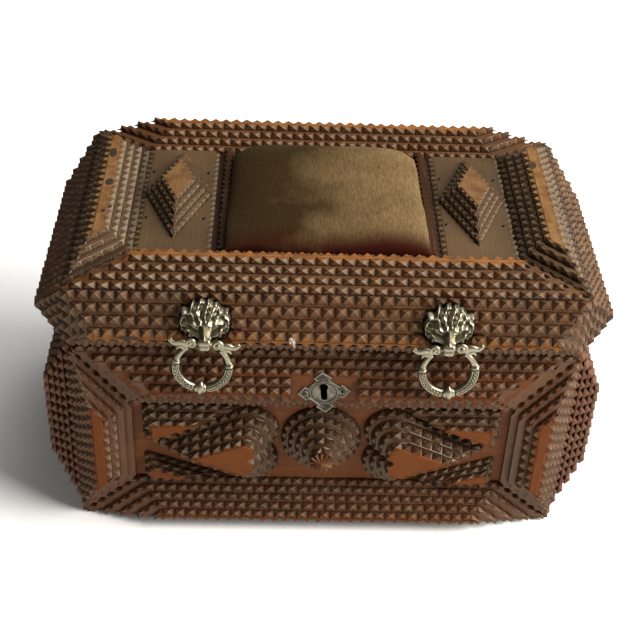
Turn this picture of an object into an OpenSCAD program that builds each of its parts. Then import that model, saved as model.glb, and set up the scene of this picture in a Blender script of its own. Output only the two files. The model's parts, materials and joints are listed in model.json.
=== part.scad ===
// Tramp art box: a plain wooden box and lid, dressed with stepped layers of thin wood,
// with a velvet pincushion on the lid, two lion ring pulls, and a small lock.
// Millimetres, +X right, +Y back, +Z up, origin under the middle of the base.

/* [Core box] */
// Outside width of the plain box under the carving
core_w = 250; // [220:1:320]
// Outside depth of the plain box
core_d = 146; // [130:1:190]
// Height of the base box, up to the joint with the lid
base_h = 114; // [104:1:150]
// Height of the lid box, without its carved top
lid_h = 32.5; // [30:0.5:46]
// Thickness of the four walls
wall_t = 7; // [6:0.5:9]
// Thickness of the bottom board and of the lid's top board
board_t = 6; // [4:0.5:9]
// Gap between lid and base when shut
lid_gap = 0.3; // [0.2:0.1:0.6]

/* [Carved layers] */
// Thickness of one carved layer
layer_t = 2.8; // [2:0.1:3.2]
// Glue line under each layer
glue_line = 0.05; // [0.02:0.01:0.1]
// Gap between two glued pieces that lie edge to edge
edge_gap = 0.1; // [0.05:0.05:0.3]
// Bare ridge left on top of a bar
ridge_w = 7.5; // [5:0.5:10]
// Bare ridge left on the left and right bars of the lid and of the front frame
side_ridge_w = 10.5; // [7.5:0.5:12]

/* [Lid top frame] */
// Layers in each bar of the lid's top frame
top_layers = 4; // [2:1:5]
// Step from one layer of the top frame to the next
top_step = 3.75; // [2.5:0.25:4.5]
// Step along the mitres of the back bar, which is flush behind
back_mitre_step = 5; // [1.5:0.25:5.5]

/* [Lid sides] */
// Layers on the lid's front and back
lid_front_layers = 4; // [4:1:5]
// Layers on the lid's left and right
lid_side_layers = 5; // [4:1:6]
// Thickness of one layer on the lid's left and right
lid_side_t = 3.2; // [2.4:0.1:3.6]
// Height of the bare outer strip on the lid's front and sides
lid_ridge_h = 7; // [5:0.5:9]
// Height of that strip's lower edge above the lid's rim
lid_ridge_z = 9.6; // [8:0.2:12]
// Step at the ends of the lid's front and back layers
lid_end_step = 4; // [2:0.5:6]
// Step at the front ends of the lid's side layers
lid_side_front_step = 3; // [2:0.5:5]
// Step at the back ends of the lid's side layers
lid_side_back_step = 5.5; // [4:0.5:9]
// Step of the back layers away from the joint, which lets the lid swing open
swing_step = 3.7; // [3.6:0.1:4.2]

/* [Base front frame] */
// Layers in the top and bottom bars of the front frame
front_layers = 5; // [4:1:6]
// Layers in the left and right bars of the front frame
post_layers = 4; // [3:1:5]
// Width of the front frame's top bar
front_top_w = 36; // [32:0.5:42]
// Width of the front frame's bottom bar
front_bottom_w = 26; // [24:0.5:32]
// Width of the front frame's left and right bars
front_post_w = 29.5; // [26:0.5:36]
// Height of the bottom bar's lower edge above the table
front_bottom_z = 1; // [0.5:0.5:4]
// Height of the bare ridge on the top and bottom bars
front_ridge_h = 5.8; // [4:0.2:8]
// Step of the bottom bar's lower edge from layer to layer
front_foot_step = 1.75; // [1:0.25:2.5]
// Step along the mitres of the top and bottom bars
front_mitre_step = 4.8; // [3:0.2:5.4]
// Step along the mitres of the left and right bars
post_mitre_step = 3.75; // [2:0.25:5]

/* [Base sides and back] */
// Layers on the base's left and right
base_side_layers = 5; // [3:1:6]
// Layers on the base's back
base_back_layers = 4; // [3:1:5]
// Bare wall left below the side and back layers
skirt_h = 10; // [4:1:16]
// Step of the side layers at their upper edge
side_top_step = 5.6; // [3:0.1:6]
// Step of the side and back layers at their lower edge
side_bottom_step = 7; // [4:0.5:9]
// Step of the side layers at their front and back ends
side_end_step = 0.6; // [0:0.1:3]

/* [Front ornaments] */
// Layers in each heart
heart_layers = 4; // [2:1:5]
// Thickness of one heart layer
heart_t = 3.8; // [3:0.1:4.2]
// Thickness of one corner layer
corner_t = 2.6; // [2:0.1:3.2]
// Gap between a heart's tip and the frame
heart_tip_gap = 9.9; // [6:0.1:16]
// Gap between a heart's lobes and the frame's rails
heart_rail_gap = 1.5; // [1.5:0.1:6]
// Length of a heart's bare top face
heart_top_l = 37; // [20:1:44]
// Height of a heart's bare top face
heart_top_h = 24; // [12:1:30]
// Share of a heart's height that the radius of its lobes is
heart_lobe = 0.29; // [0.27:0.01:0.31]
// Gap between the middle of the box and a heart's lobes
heart_x = 21.6; // [21:0.2:26]
// Rings in the rosette
rosette_layers = 5; // [3:1:6]
// Radius of the rosette's largest ring
rosette_r = 20.4; // [16:0.2:20.6]
// Step from one rosette ring to the next
rosette_step = 3.5; // [2:0.1:3.7]
// Thickness of one rosette ring
rosette_t = 3.7; // [3:0.1:4]
// Height of the rosette's middle above the middle of the recess
rosette_up = 4.4; // [0:0.1:4.6]
// Radius of the boss on the rosette
boss_r = 5.4; // [4:0.2:5.8]
// Radius of the boss's blunt point
boss_tip_r = 1.2; // [0.8:0.1:2]
// Height of the boss
boss_h = 3; // [2:0.2:4]
// Layers in each corner piece
corner_layers = 3; // [2:1:4]
// Gap between an upper corner piece and a heart's lobe
corner_heart_gap = 0.45; // [0.3:0.05:1.2]
// Height of an upper corner piece's lower end above the middle of the recess
upper_corner_rise = 1; // [0.5:0.1:4]
// Length of a lower corner piece along the frame
lower_corner_l = 44; // [30:1:46]
// Depth of a lower corner piece's upper end below the middle of the recess
lower_corner_fall = 7.5; // [6:0.1:10]
// Step of a corner piece's layers beside the post
corner_side_step = 1.3; // [0.5:0.1:2]
// Step of an upper corner piece's layers along the frame
upper_frame_step = 3.4; // [2:0.1:4]
// Step of an upper corner piece's layers along the heart
upper_heart_step = 0.3; // [0:0.1:1]
// Step of a lower corner piece's layers along the frame
lower_frame_step = 1.3; // [0.5:0.1:2]
// Step of a lower corner piece's layers along the heart
lower_heart_step = 1.8; // [1:0.1:2.6]
// Gap between a corner piece and the frame's rail
corner_gap = 1; // [0.2:0.2:2]
// Gap between a corner piece and the frame's post
corner_post_gap = 5; // [2:0.5:6]
// Share of a heart's length that its layers lose at the lobes
heart_lean = 0.4; // [0.3:0.05:0.5]

/* [Lid ornaments] */
// Thickness of the thin panels beside the cushion
panel_t = 1.6; // [1:0.1:2.4]
// Width of a panel
panel_w = 38; // [34:0.5:40]
// Layers in each diamond
diamond_layers = 4; // [3:1:6]
// Thickness of one diamond layer
diamond_t = 2.6; // [1.6:0.1:3]
// Width of a diamond across its base
diamond_w = 34; // [26:1:36]
// Length of a diamond across its base
diamond_l = 82; // [60:1:90]
// Share of the base that a diamond's bare top keeps
diamond_top = 0.53; // [0.3:0.01:0.6]
// Distance of the diamonds behind the middle of the field
diamond_back = 3; // [0:0.5:6]
// Width of the notched strip on each side of the cushion
strip_w = 4.5; // [3:0.5:6]
// Height of that strip
strip_h = 4; // [2:0.5:6]
// Gap between a panel and the notched strip beside it
panel_gap = 3.1; // [2:0.1:6]
// Height of the pincushion's crown above the lid
cushion_h = 12.5; // [10:0.5:20]
// Clearance round the pincushion
cushion_gap = 0.8; // [0.5:0.1:2]
// Angle by which the pincushion's sides turn in at the foot
cushion_tuck = 38; // [20:1:45]
// Share by which the pincushion's sides are drawn in between its corners
cushion_draw = 0.025; // [0:0.005:0.06]

/* [Ring pulls] */
// Distance of each pull from the middle of the box
pull_x = 57.5; // [40:0.5:70]
// Height of a lion head's centre above the lid's rim
lion_z = 21.5; // [18:0.5:24]
// Radius of a lion head
lion_r = 13; // [10:0.5:14]
// Thickness of the mane under the face
mane_t = 4; // [3:0.5:6]
// Layers of wood left under a lion head
lion_seat_layers = 2; // [1:1:3]
// Height of the ring's pivot above the lid's rim
pivot_z = 13.3; // [12:0.1:14]
// Distance of the ring's pivot from the lion's seat
pivot_out = 9.5; // [9:0.1:12]
// Width of the lion's jaw, which holds the ring
jaw_w = 8; // [6:0.5:9]
// Wall of the jaw round the ring
jaw_wall = 1.4; // [1.2:0.1:2.5]
// Radius of the ring to the middle of its bar
ring_r = 12.6; // [10:0.2:14]
// Radius of the ring's bar
ring_bar_r = 1.8; // [1.4:0.1:2.2]
// Clearance of the ring in the jaw
ring_gap = 0.5; // [0.2:0.1:0.6]
// Radius of the bead under the ring
bead_r = 2.1; // [1.8:0.1:2.4]
// Angle by which the hanging ring stands off the base
ring_lean = 5; // [2:0.5:8]
// Length of the two horns on the ring
horn_l = 9; // [4:0.2:9.4]
// Place of the horns, as an angle from the top of the ring
horn_angle = 38; // [35:1:60]
// Angle of the horns from upright
horn_tilt = 57; // [55:1:80]
// Radius of a horn where it leaves the ring
horn_root_r = 1.6; // [1.2:0.1:1.8]
// Radius of a horn's tip
horn_tip_r = 0.5; // [0.3:0.1:1]
// Radius of the stud that holds a lion head
stud_r = 1.6; // [1.2:0.1:2]
// Clearance of the stud in the wood
stud_gap = 0.1; // [0.05:0.05:0.3]
// Thickness of the nut inside the lid
nut_t = 2.4; // [1.6:0.2:3]
// Length of stud that shows past the nut
stud_end = 1; // [0.4:0.2:2]
// Radius of the face on the mane
face_r = 9.4; // [7:0.2:10]
// Depth that the face sinks into the mane
face_sink = 2; // [1:0.5:3]
// Radius of the nut over its corners
nut_r = 3.6; // [2.8:0.1:4.5]

/* [Lock] */
// Height of the escutcheon's middle below the joint
escutcheon_drop = 20; // [17:0.5:22]
// Height of the keyhole's round part above the escutcheon's middle
keyhole_rise = 3.3; // [0:0.1:4]
// Half of the escutcheon's width
escutcheon_r = 13; // [11:0.2:14]
// Angle by which the escutcheon is set askew
escutcheon_turn = 6; // [0:1:8]
// Distance of the shoulders of a point from the escutcheon's middle
shoulder_out = 9; // [8:0.2:10]
// Half of a point's width at its shoulders
shoulder_w = 4.5; // [4:0.1:5]
// Distance of a point's neck from the escutcheon's middle
neck_out = 7.8; // [7:0.1:8.4]
// Half of a point's width at its neck
neck_w = 3.1; // [2.8:0.1:3.6]
// Distance of the escutcheon's pins from its middle
pin_x = 9.5; // [8.6:0.1:10]
// Thickness of the escutcheon
escutcheon_t = 1; // [0.6:0.1:1.6]
// Layers of wood left under the escutcheon
escutcheon_seat_layers = 3; // [2:1:4]
// Wood cut away on each side of the escutcheon
escutcheon_margin = 3; // [1:0.5:5]
// Radius of the keyhole's round part
keyhole_r = 2.3; // [1.6:0.1:3]
// Width of the keyhole's slot
keyhole_slot_w = 3.2; // [2.4:0.1:3.6]
// Length of the keyhole's slot below its round part
keyhole_slot_l = 6; // [4:0.5:7]
// Radius of the pins in the escutcheon
pin_r = 0.6; // [0.4:0.05:0.8]
// Radius of those pins' heads
pin_head_r = 1.2; // [1:0.1:1.6]
// Length of those pins in the wood
pin_l = 5; // [3:0.5:7]
// Width of the lock's case
lock_w = 52; // [44:1:60]
// Height of the lock's case
lock_h = 29; // [27:1:34]
// Depth of the lock's case
lock_d = 9; // [8:0.5:12]
// Wall of the lock's case
lock_wall = 1.2; // [0.8:0.1:1.8]
// Distance of the lock's case below the joint
lock_drop = 1.5; // [1:0.25:3]
// Length of the bolt
bolt_l = 20; // [14:1:22]
// Height of the bolt
bolt_h = 4; // [3:0.5:5]
// Depth of the bolt
bolt_d = 3; // [2.4:0.2:4]
// Travel of the bolt
bolt_travel = 6; // [5:0.5:7]
// Clearance round the bolt
bolt_gap = 0.3; // [0.2:0.1:0.5]
// Width of the flange on each side of the lock's case
lock_flange = 7; // [6:0.5:9]
// Distance of the strike's tongue from the keyhole
tongue_x = 12; // [11:0.5:14]
// Width of the tongue
tongue_w = 5.6; // [5.2:0.2:6]
// Length of the tongue below the joint
tongue_l = 12; // [11:0.5:16]
// Thickness of the strike and its tongue
strike_t = 1.4; // [1.2:0.1:1.6]
// Width of the strike plate on the lid's front rail
strike_w = 18; // [15:0.5:22]
// Height of the strike plate
strike_h = 16; // [14:1:18]
// Distance of the strike's screws from its edges
strike_screw_edge = 2.7; // [2.2:0.1:3.4]

/* [Hinges and screws] */
// Distance of a hinge's middle from the end of the box
hinge_end = 50; // [35:1:75]
// Length of a hinge
hinge_l = 38; // [28:1:50]
// Distance of a hinge leaf's screws from the leaf's ends
leaf_screw_end = 7.5; // [4:0.5:9]
// Radius of a hinge's knuckles
knuckle_r = 2.2; // [2:0.1:2.4]
// Radius of a hinge's pin
hinge_pin_r = 1.1; // [0.8:0.1:1.2]
// Clearance of the pin in its knuckles
pin_gap = 0.08; // [0.05:0.01:0.1]
// Gap between two knuckles
knuckle_gap = 0.4; // [0.3:0.1:0.8]
// Thickness of a hinge leaf
leaf_t = 0.9; // [0.7:0.1:1.2]
// Depth of a hinge leaf on the rim
leaf_d = 6.25; // [5:0.25:6.5]
// Clearance of a leaf in its recess
leaf_gap = 0.1; // [0.05:0.05:0.2]
// Radius of a screw's shank
screw_r = 0.9; // [0.7:0.05:1]
// Radius of a screw's head
screw_head_r = 1.5; // [1.2:0.1:1.6]
// Thickness of a screw's head
screw_head_t = 0.5; // [0.4:0.05:0.6]
// Length of a screw in the wood
screw_l = 8; // [5:0.5:10]
// Length of the short screws of the lock and strike in the wood
short_screw_l = 4.5; // [3:0.5:5]
// Clearance of a screw in its hole
screw_gap = 0.05; // [0.03:0.01:0.1]
// Radius of a tack's head on the panels
tack_r = 1.2; // [0.8:0.1:1.6]
// Height of a tack's head
tack_h = 0.6; // [0.4:0.1:1]
// Distance of a tack from its panel's side edge
tack_edge = 4.5; // [3:0.5:6]
// Distance between a panel's front and back tacks
tack_span = 44; // [30:1:60]

/* [Hidden] */
$fn = 48;

red_wood = "saddlebrown";
bare_wood = "peru";
dark_wood = "sienna";
brass = "darkkhaki";
pewter = "slategray";
steel = "dimgray";
velvet = "olive";

half_w = core_w / 2;
half_d = core_d / 2;
lid_z = base_h + lid_gap;
lid_top_z = lid_z + lid_h;
layer_pitch = layer_t + glue_line;
diamond_pitch = diamond_t + glue_line;
cut = 0.5;

// Lid top frame: the front and side bars step down both ways, the back bar only inwards
top_inset = (top_layers - 1) * top_step;
top_bar_w = ridge_w + 2 * top_inset;
top_outer_inset = top_bar_w - side_ridge_w - top_inset;
top_back_bar_w = ridge_w + top_inset;
field_x = half_w - top_bar_w;
field_front_y = -half_d + top_bar_w;
field_back_y = half_d - top_back_bar_w;
field_mid_y = (field_front_y + field_back_y) / 2;
field_l = field_back_y - field_front_y;
back_mitre = top_bar_w / top_back_bar_w;

// Lid field: panels along the frame, then the strips, then the cushion in what is left
panel_x = field_x - edge_gap - panel_w / 2;
strip_x = panel_x - panel_w / 2 - panel_gap - strip_w / 2;
cushion_w = 2 * (strip_x - strip_w / 2 - cushion_gap);
cushion_l = field_l - 2 * cushion_gap;
cushion_sides = 48;
cushion_rings = 9;
// Powers that square the cushion's plan and fill out its sides
cushion_square = 0.42;
cushion_full = 0.5;

// Base front frame
front_inset = (front_top_w - front_ridge_h) / 2;
post_inset = (front_post_w - ridge_w) / 2;
post_outer_inset = front_post_w - side_ridge_w - post_inset;
foot_inset = (front_layers - 1) * front_foot_step;
bottom_inner_inset = front_bottom_w - front_ridge_h - foot_inset;
recess_x = half_w - front_post_w;
recess_top_z = base_h - front_top_w;
recess_bottom_z = front_bottom_z + front_bottom_w;
recess_mid_z = (recess_top_z + recess_bottom_z) / 2;
post_mid_z = (base_h + front_bottom_z) / 2;
post_l = base_h - front_bottom_z;
heart_l = recess_x - heart_x - heart_tip_gap;
recess_half_h = (recess_top_z - recess_bottom_z) / 2;
heart_h = 2 * (recess_half_h - heart_rail_gap);
lobe_r = heart_lobe * heart_h;
upper_corner_h = recess_half_h - corner_gap - upper_corner_rise;
lower_corner_h = recess_half_h - corner_gap - lower_corner_fall;
// The long side of an upper corner piece touches a circle round the heart's lobe
lobe_away = [recess_x - corner_post_gap - heart_x - lobe_r, heart_h / 2 - lobe_r - upper_corner_rise];
corner_slope = atan2(lobe_away.y, lobe_away.x) + asin((lobe_r + corner_heart_gap) / norm(lobe_away));
upper_corner_l = upper_corner_h / tan(corner_slope);
lobe_steps = 24;

// Ring pulls
lion_seat = lion_seat_layers * layer_pitch;
jaw_sag = ring_r - sqrt(ring_r * ring_r - jaw_w * jaw_w / 4);
jaw_bore_r = ring_bar_r + jaw_sag + ring_gap;
pull_pivot_y = -half_d - lion_seat - pivot_out;
pull_pivot_z = lid_z + pivot_z;
lion_mid_z = lid_z + lion_z;
nut_y = -half_d + wall_t;
stud_l = wall_t + lion_seat + 2 * glue_line + nut_t + stud_end;

// Lock and hinges
escutcheon_z = base_h - escutcheon_drop;
keyhole_z = escutcheon_z + keyhole_rise;
escutcheon_seat = escutcheon_seat_layers * layer_pitch;
lock_y = -half_d + wall_t;
lock_top_z = base_h - lock_drop;
tongue_y = lock_y + glue_line + strike_t;
bolt_z = base_h - tongue_l + strike_t + bolt_gap + bolt_h / 2;
bolt_y = tongue_y + tongue_w / 2;
bolt_rest_x = tongue_x - strike_t / 2 - bolt_gap - bolt_l;
lock_inner_w = lock_w - 2 * lock_flange - 2 * lock_wall;
lock_back_y = lock_y + lock_d - lock_wall;
lock_screw_x = lock_w / 2 - lock_flange / 2;
lock_screw_z = lock_top_z - lock_h / 2;
axis_y = half_d;
axis_z = base_h + lid_gap / 2;
hinge_x = half_w - hinge_end;
knuckle_l = (hinge_l - 2 * knuckle_gap) / 3;
leaf_screw_x = hinge_l / 2 - leaf_screw_end;
leaf_screw_y = axis_y - knuckle_r - 2 * knuckle_gap - screw_head_r;
strike_screw_x = strike_w / 2 - strike_screw_edge;
strike_screw_z = lid_z + strike_h - strike_screw_edge;

// Outline a moved a share s of the way to outline b
function blend(a, b, s) = [for (i = [0:len(a) - 1]) a[i] * (1 - s) + b[i] * s];

function rect(x0, y0, x1, y1) = [[x0, y0], [x1, y0], [x1, y1], [x0, y1]];

// A mitred bar: its outer edge runs from -l/2 to l/2 at v = 0, its inner edge is at v = w
function bar(l, w, m0, m1, out_in, in_in, end_in) =
    let (v0 = out_in, v1 = w - in_in)
    let (e0 = end_in * sqrt(1 + m0 * m0), e1 = end_in * sqrt(1 + m1 * m1))
    [[-l / 2 + v0 * m0 + e0, v0], [l / 2 - v0 * m1 - e1, v0],
     [l / 2 - v1 * m1 - e1, v1], [-l / 2 + v1 * m0 + e0, v1]];

// A heart on its side, tip at u = 0, lobes at u = l
function heart(l, h) =
    let (r = heart_lobe * h, mid = [l - r, h / 2 - r])
    let (tangent = 90 + atan2(mid.y, mid.x) + asin(r / norm(mid)), cleft = -asin(mid.y / r))
    let (lobe = [for (i = [0:lobe_steps]) let (a = tangent + (cleft - tangent) * i / lobe_steps)
                     mid + r * [cos(a), sin(a)]])
    concat([[0, 0]], [for (i = [0:lobe_steps - 1]) [lobe[i].x, -lobe[i].y]],
           [for (i = [lobe_steps:-1:0]) lobe[i]]);

function moved(points, d) = [for (p = points) p + d];

// Layers of wood, each glued on the one below, from an outer outline to the ridge outline
module stack(outer, inner, n, t = layer_t) {
    for (k = [0:n - 1])
        translate([0, 0, glue_line + k * (t + glue_line)])
            linear_extrude(t)
                polygon(blend(outer, inner, k / (n - 1)));
}

// Faces of the core box: local x along the face, local y up, local z outwards
module on_front() { translate([0, -half_d, 0]) rotate([90, 0, 0]) children(); }
module on_back() { translate([0, half_d, 0]) rotate([90, 0, 180]) children(); }
module on_left() { translate([-half_w, 0, 0]) rotate([90, 0, -90]) children(); }
module on_right() { translate([half_w, 0, 0]) rotate([90, 0, 90]) children(); }
module on_lid() { translate([0, 0, lid_top_z]) children(); }

module block(x0, y0, z0, x1, y1, z1) { translate([x0, y0, z0]) cube([x1 - x0, y1 - y0, z1 - z0]); }

// A round bar along X, centred
module rod(r, l) { rotate([0, 90, 0]) cylinder(r = r, h = l, center = true); }

// Keyhole with its slot down, cut through a wall of thickness l
module keyhole(l) {
    cylinder(r = keyhole_r, h = l);
    translate([-keyhole_slot_w / 2, -keyhole_r - keyhole_slot_l, 0])
        cube([keyhole_slot_w, keyhole_r + keyhole_slot_l, l]);
}

// Countersunk screw pointing down, its head flush at z = 0
module screw(l) {
    translate([0, 0, -screw_head_t]) cylinder(r = screw_head_r, h = screw_head_t);
    translate([0, 0, -l]) cylinder(r = screw_r, h = l - screw_head_t / 2);
}

// The hole that such a screw fills
module screw_hole(l) {
    translate([0, 0, -screw_head_t - screw_gap])
        cylinder(r = screw_head_r + screw_gap, h = screw_head_t + cut);
    translate([0, 0, -l - screw_gap]) cylinder(r = screw_r + screw_gap, h = l + cut);
}

// Places of the screws on the hinge leaves, on the rim's plane
module at_hinge_screws() {
    for (side = [-1, 1], end = [-1, 1])
        translate([side * hinge_x + end * leaf_screw_x, leaf_screw_y, 0])
            children();
}

// Hinge recess in a rim: leaf pocket and room for the knuckles
module hinge_recess(side, z0, z1) {
    block(side * hinge_x - hinge_l / 2 - knuckle_gap, half_d - leaf_d - leaf_gap, z0,
          side * hinge_x + hinge_l / 2 + knuckle_gap, half_d + cut, z1);
    translate([side * hinge_x, axis_y, axis_z])
        rod(knuckle_r + knuckle_gap, hinge_l + 2 * knuckle_gap);
}

// Base box

module bottom_board() {
    color(dark_wood) block(-half_w, -half_d, 0, half_w, half_d, board_t);
}

module base_front_board() {
    color(dark_wood) difference() {
        block(-half_w, -half_d, board_t + glue_line, half_w, -half_d + wall_t, base_h);
        translate([0, -half_d + wall_t + cut, keyhole_z]) rotate([90, 0, 0])
            keyhole(wall_t + 2 * cut);
        at_lock_screws() screw_hole(lock_wall + short_screw_l);
    }
}

module base_back_board() {
    color(dark_wood) difference() {
        block(-half_w, half_d - wall_t, board_t + glue_line, half_w, half_d, base_h);
        for (side = [-1, 1]) hinge_recess(side, base_h - leaf_t - leaf_gap, base_h + cut);
        translate([0, 0, base_h]) at_hinge_screws() screw_hole(screw_l);
    }
}

module base_side_board(side) {
    color(dark_wood)
        translate([side * (half_w - wall_t / 2), 0, (base_h + board_t + glue_line) / 2])
            cube([wall_t, core_d - 2 * wall_t - 2 * edge_gap, base_h - board_t - glue_line], center = true);
}

// Base front frame

module base_top_bar() {
    m = front_post_w / front_top_w;
    mitre = (front_layers - 1) * front_mitre_step;
    color(red_wood) on_front() difference() {
        translate([0, base_h, 0]) rotate(180)
            stack(bar(core_w, front_top_w, m, m, 0, 0, edge_gap),
                  bar(core_w, front_top_w, m, m, front_inset, front_inset, mitre), front_layers);
        block(-escutcheon_r - escutcheon_margin, base_h - front_top_w - cut, escutcheon_seat,
              escutcheon_r + escutcheon_margin, base_h + cut, front_layers * layer_pitch + cut);
        translate([0, keyhole_z, -cut]) keyhole(front_layers * layer_pitch + 2 * cut);
        translate([0, escutcheon_z, escutcheon_seat]) at_escutcheon_pins()
            translate([0, 0, -pin_l - screw_gap]) cylinder(r = pin_r + screw_gap, h = pin_l + cut);
    }
}

module base_bottom_bar() {
    m = front_post_w / front_bottom_w;
    mitre = (front_layers - 1) * front_mitre_step;
    color(red_wood) on_front() translate([0, front_bottom_z, 0])
        stack(bar(core_w, front_bottom_w, m, m, 0, 0, edge_gap),
              bar(core_w, front_bottom_w, m, m, foot_inset, bottom_inner_inset, mitre), front_layers);
}

module base_post(side) {
    upper = front_top_w / front_post_w;
    lower = front_bottom_w / front_post_w;
    mitre = (post_layers - 1) * post_mitre_step;
    color(red_wood) on_front() mirror([side > 0 ? 1 : 0, 0, 0])
        translate([-half_w, post_mid_z, 0]) rotate(-90)
            stack(bar(post_l, front_post_w, upper, lower, 0, 0, edge_gap),
                  bar(post_l, front_post_w, upper, lower, post_outer_inset, post_inset, mitre), post_layers);
}

// Base sides and back

module base_side_layers_stack() {
    n = base_side_layers - 1;
    top_z = base_h - lid_gap;
    color(red_wood)
        stack(rect(-half_d, skirt_h, half_d, top_z),
              rect(-half_d + n * side_end_step, skirt_h + n * side_bottom_step,
                   half_d - n * side_end_step, top_z - n * side_top_step), base_side_layers);
}

module base_back_stack() {
    n = base_back_layers - 1;
    top_z = base_h - swing_step;
    color(red_wood) on_back()
        stack(rect(-half_w, skirt_h, half_w, top_z),
              rect(-half_w + n * lid_end_step, skirt_h + n * side_bottom_step,
                   half_w - n * lid_end_step, top_z - n * swing_step), base_back_layers);
}

// Ornaments in the front recess

module heart_on_side(side) {
    top_x = heart_x + (heart_l - heart_top_l) * heart_lean;
    color(red_wood) on_front() translate([0, recess_mid_z, 0]) mirror([side > 0 ? 1 : 0, 0, 0])
        stack(moved(heart(heart_l, heart_h), [-heart_x - heart_l, 0]),
              moved(heart(heart_top_l, heart_top_h), [-top_x - heart_top_l, 0]),
              heart_layers, heart_t);
}

module rosette() {
    pitch = rosette_t + glue_line;
    color(red_wood) on_front() translate([0, recess_mid_z + rosette_up, 0]) {
        for (k = [0:rosette_layers - 1])
            translate([0, 0, glue_line + k * pitch])
                cylinder(r = rosette_r - k * rosette_step, h = rosette_t);
        translate([0, 0, glue_line + rosette_layers * pitch])
            cylinder(r1 = boss_r, r2 = boss_tip_r, h = boss_h);
    }
}

// A corner piece with its square corner in the frame's inner corner and its long side along the heart
module corner_piece(side, up, l, h, frame_step, heart_step) {
    steps = corner_layers - 1;
    a = steps * corner_side_step;
    b = steps * frame_step;
    reach = 1 - steps * heart_step * norm([l, h]) / (l * h);
    outer = [[0, 0], [l, 0], [0, h]];
    inner = [[a, b], [l * (reach - b / h), b], [a, h * (reach - a / l)]];
    corner_z = up > 0 ? recess_top_z : recess_bottom_z;
    color(red_wood) on_front()
        translate([side * (recess_x - corner_post_gap), corner_z - up * corner_gap, 0])
            mirror([side > 0 ? 1 : 0, 0, 0]) mirror([0, up > 0 ? 1 : 0, 0])
                stack(outer, inner, corner_layers, corner_t);
}

module upper_corner(side) {
    corner_piece(side, 1, upper_corner_l, upper_corner_h, upper_frame_step, upper_heart_step);
}

module lower_corner(side) {
    corner_piece(side, -1, lower_corner_l, lower_corner_h, lower_frame_step, lower_heart_step);
}

// Escutcheon and lock

// A square on its corner, each corner a point with a neck and two shoulders
function escutcheon_outline() =
    let (quarter = [[escutcheon_r, 0], [shoulder_out, shoulder_w], [neck_out, neck_w],
                    [neck_w, neck_out], [shoulder_w, shoulder_out]])
    [for (turn = [0:3], p = quarter) let (c = cos(90 * turn), d = sin(90 * turn))
         [p.x * c - p.y * d, p.x * d + p.y * c]];

module at_escutcheon_pins() {
    for (side = [-1, 1]) rotate(escutcheon_turn) translate([side * pin_x, 0, 0]) children();
}

module escutcheon() {
    color(pewter) on_front() translate([0, escutcheon_z, escutcheon_seat + glue_line]) difference() {
        rotate(escutcheon_turn) linear_extrude(escutcheon_t) polygon(escutcheon_outline());
        translate([0, keyhole_rise, -cut]) keyhole(escutcheon_t + 2 * cut);
        at_escutcheon_pins() translate([0, 0, -cut])
            cylinder(r = pin_r + screw_gap, h = escutcheon_t + 2 * cut);
    }
}

module escutcheon_pins() {
    color(pewter) on_front() translate([0, escutcheon_z, escutcheon_seat]) at_escutcheon_pins() {
        translate([0, 0, -pin_l]) cylinder(r = pin_r, h = pin_l + escutcheon_t + 2 * glue_line);
        translate([0, 0, 2 * glue_line + escutcheon_t]) cylinder(r1 = pin_head_r, r2 = pin_r, h = pin_r);
    }
}

// Places of the lock's screws, heads to the inside of the box
module at_lock_screws() {
    for (side = [-1, 1])
        translate([side * lock_screw_x, lock_y + glue_line + lock_wall, lock_screw_z])
            rotate([-90, 0, 0])
                children();
}

// The case is open towards the wall, with a slot on top for the tongue and two ledges for the bolt
module lock_case() {
    x = lock_inner_w / 2;
    seat_y = lock_y + glue_line;
    low_z = lock_top_z - lock_h;
    slot = strike_t / 2 + 2 * bolt_gap;
    ledge = bolt_h / 2 + bolt_gap;
    ledge_y = bolt_y - bolt_d / 2;
    color(steel) difference() {
        union() {
            block(-lock_w / 2, seat_y, low_z, lock_w / 2, seat_y + lock_wall, lock_top_z);
            difference() {
                block(-x - lock_wall, seat_y, low_z, x + lock_wall, lock_y + lock_d, lock_top_z);
                block(-x, lock_y - cut, low_z + lock_wall, x, lock_back_y, lock_top_z - lock_wall);
            }
            for (z = [bolt_z - ledge - lock_wall, bolt_z + ledge])
                block(-x, ledge_y, z, tongue_x - slot, lock_back_y + lock_wall / 2, z + lock_wall);
        }
        block(-x, lock_y - cut, low_z + lock_wall, x, ledge_y, lock_top_z - lock_wall);
        block(tongue_x - slot, lock_y - cut, lock_top_z - lock_wall - cut,
              tongue_x + slot, lock_back_y, lock_top_z + cut);
        at_lock_screws() screw_hole(lock_wall + short_screw_l);
    }
}

module lock_bolt() {
    color(brass) translate([bolt_rest_x, bolt_y - bolt_d / 2, bolt_z - bolt_h / 2])
        cube([bolt_l, bolt_d, bolt_h]);
}

module lock_screws() {
    color(brass) at_lock_screws() screw(lock_wall + short_screw_l);
}

module at_strike_screws() {
    for (side = [-1, 1])
        translate([tongue_x + side * strike_screw_x, tongue_y, strike_screw_z])
            rotate([-90, 0, 0])
                children();
}

// A plate on the lid's front rail, with a tongue that drops into the lock for the bolt to pass through
module strike_plate() {
    color(steel) difference() {
        union() {
            block(tongue_x - strike_w / 2, lock_y + glue_line, lid_z + lid_gap,
                  tongue_x + strike_w / 2, tongue_y, lid_z + strike_h);
            block(tongue_x - strike_t / 2, tongue_y, base_h - tongue_l,
                  tongue_x + strike_t / 2, tongue_y + tongue_w, lid_z + strike_h / 2);
        }
        translate([tongue_x, bolt_y, bolt_z])
            cube([2 * strike_t, bolt_d + 2 * bolt_gap, bolt_h + 2 * bolt_gap], center = true);
        at_strike_screws() screw_hole(strike_t + short_screw_l);
    }
}

module strike_screws() {
    color(brass) at_strike_screws() screw(strike_t + short_screw_l);
}

// Hinges

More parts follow.
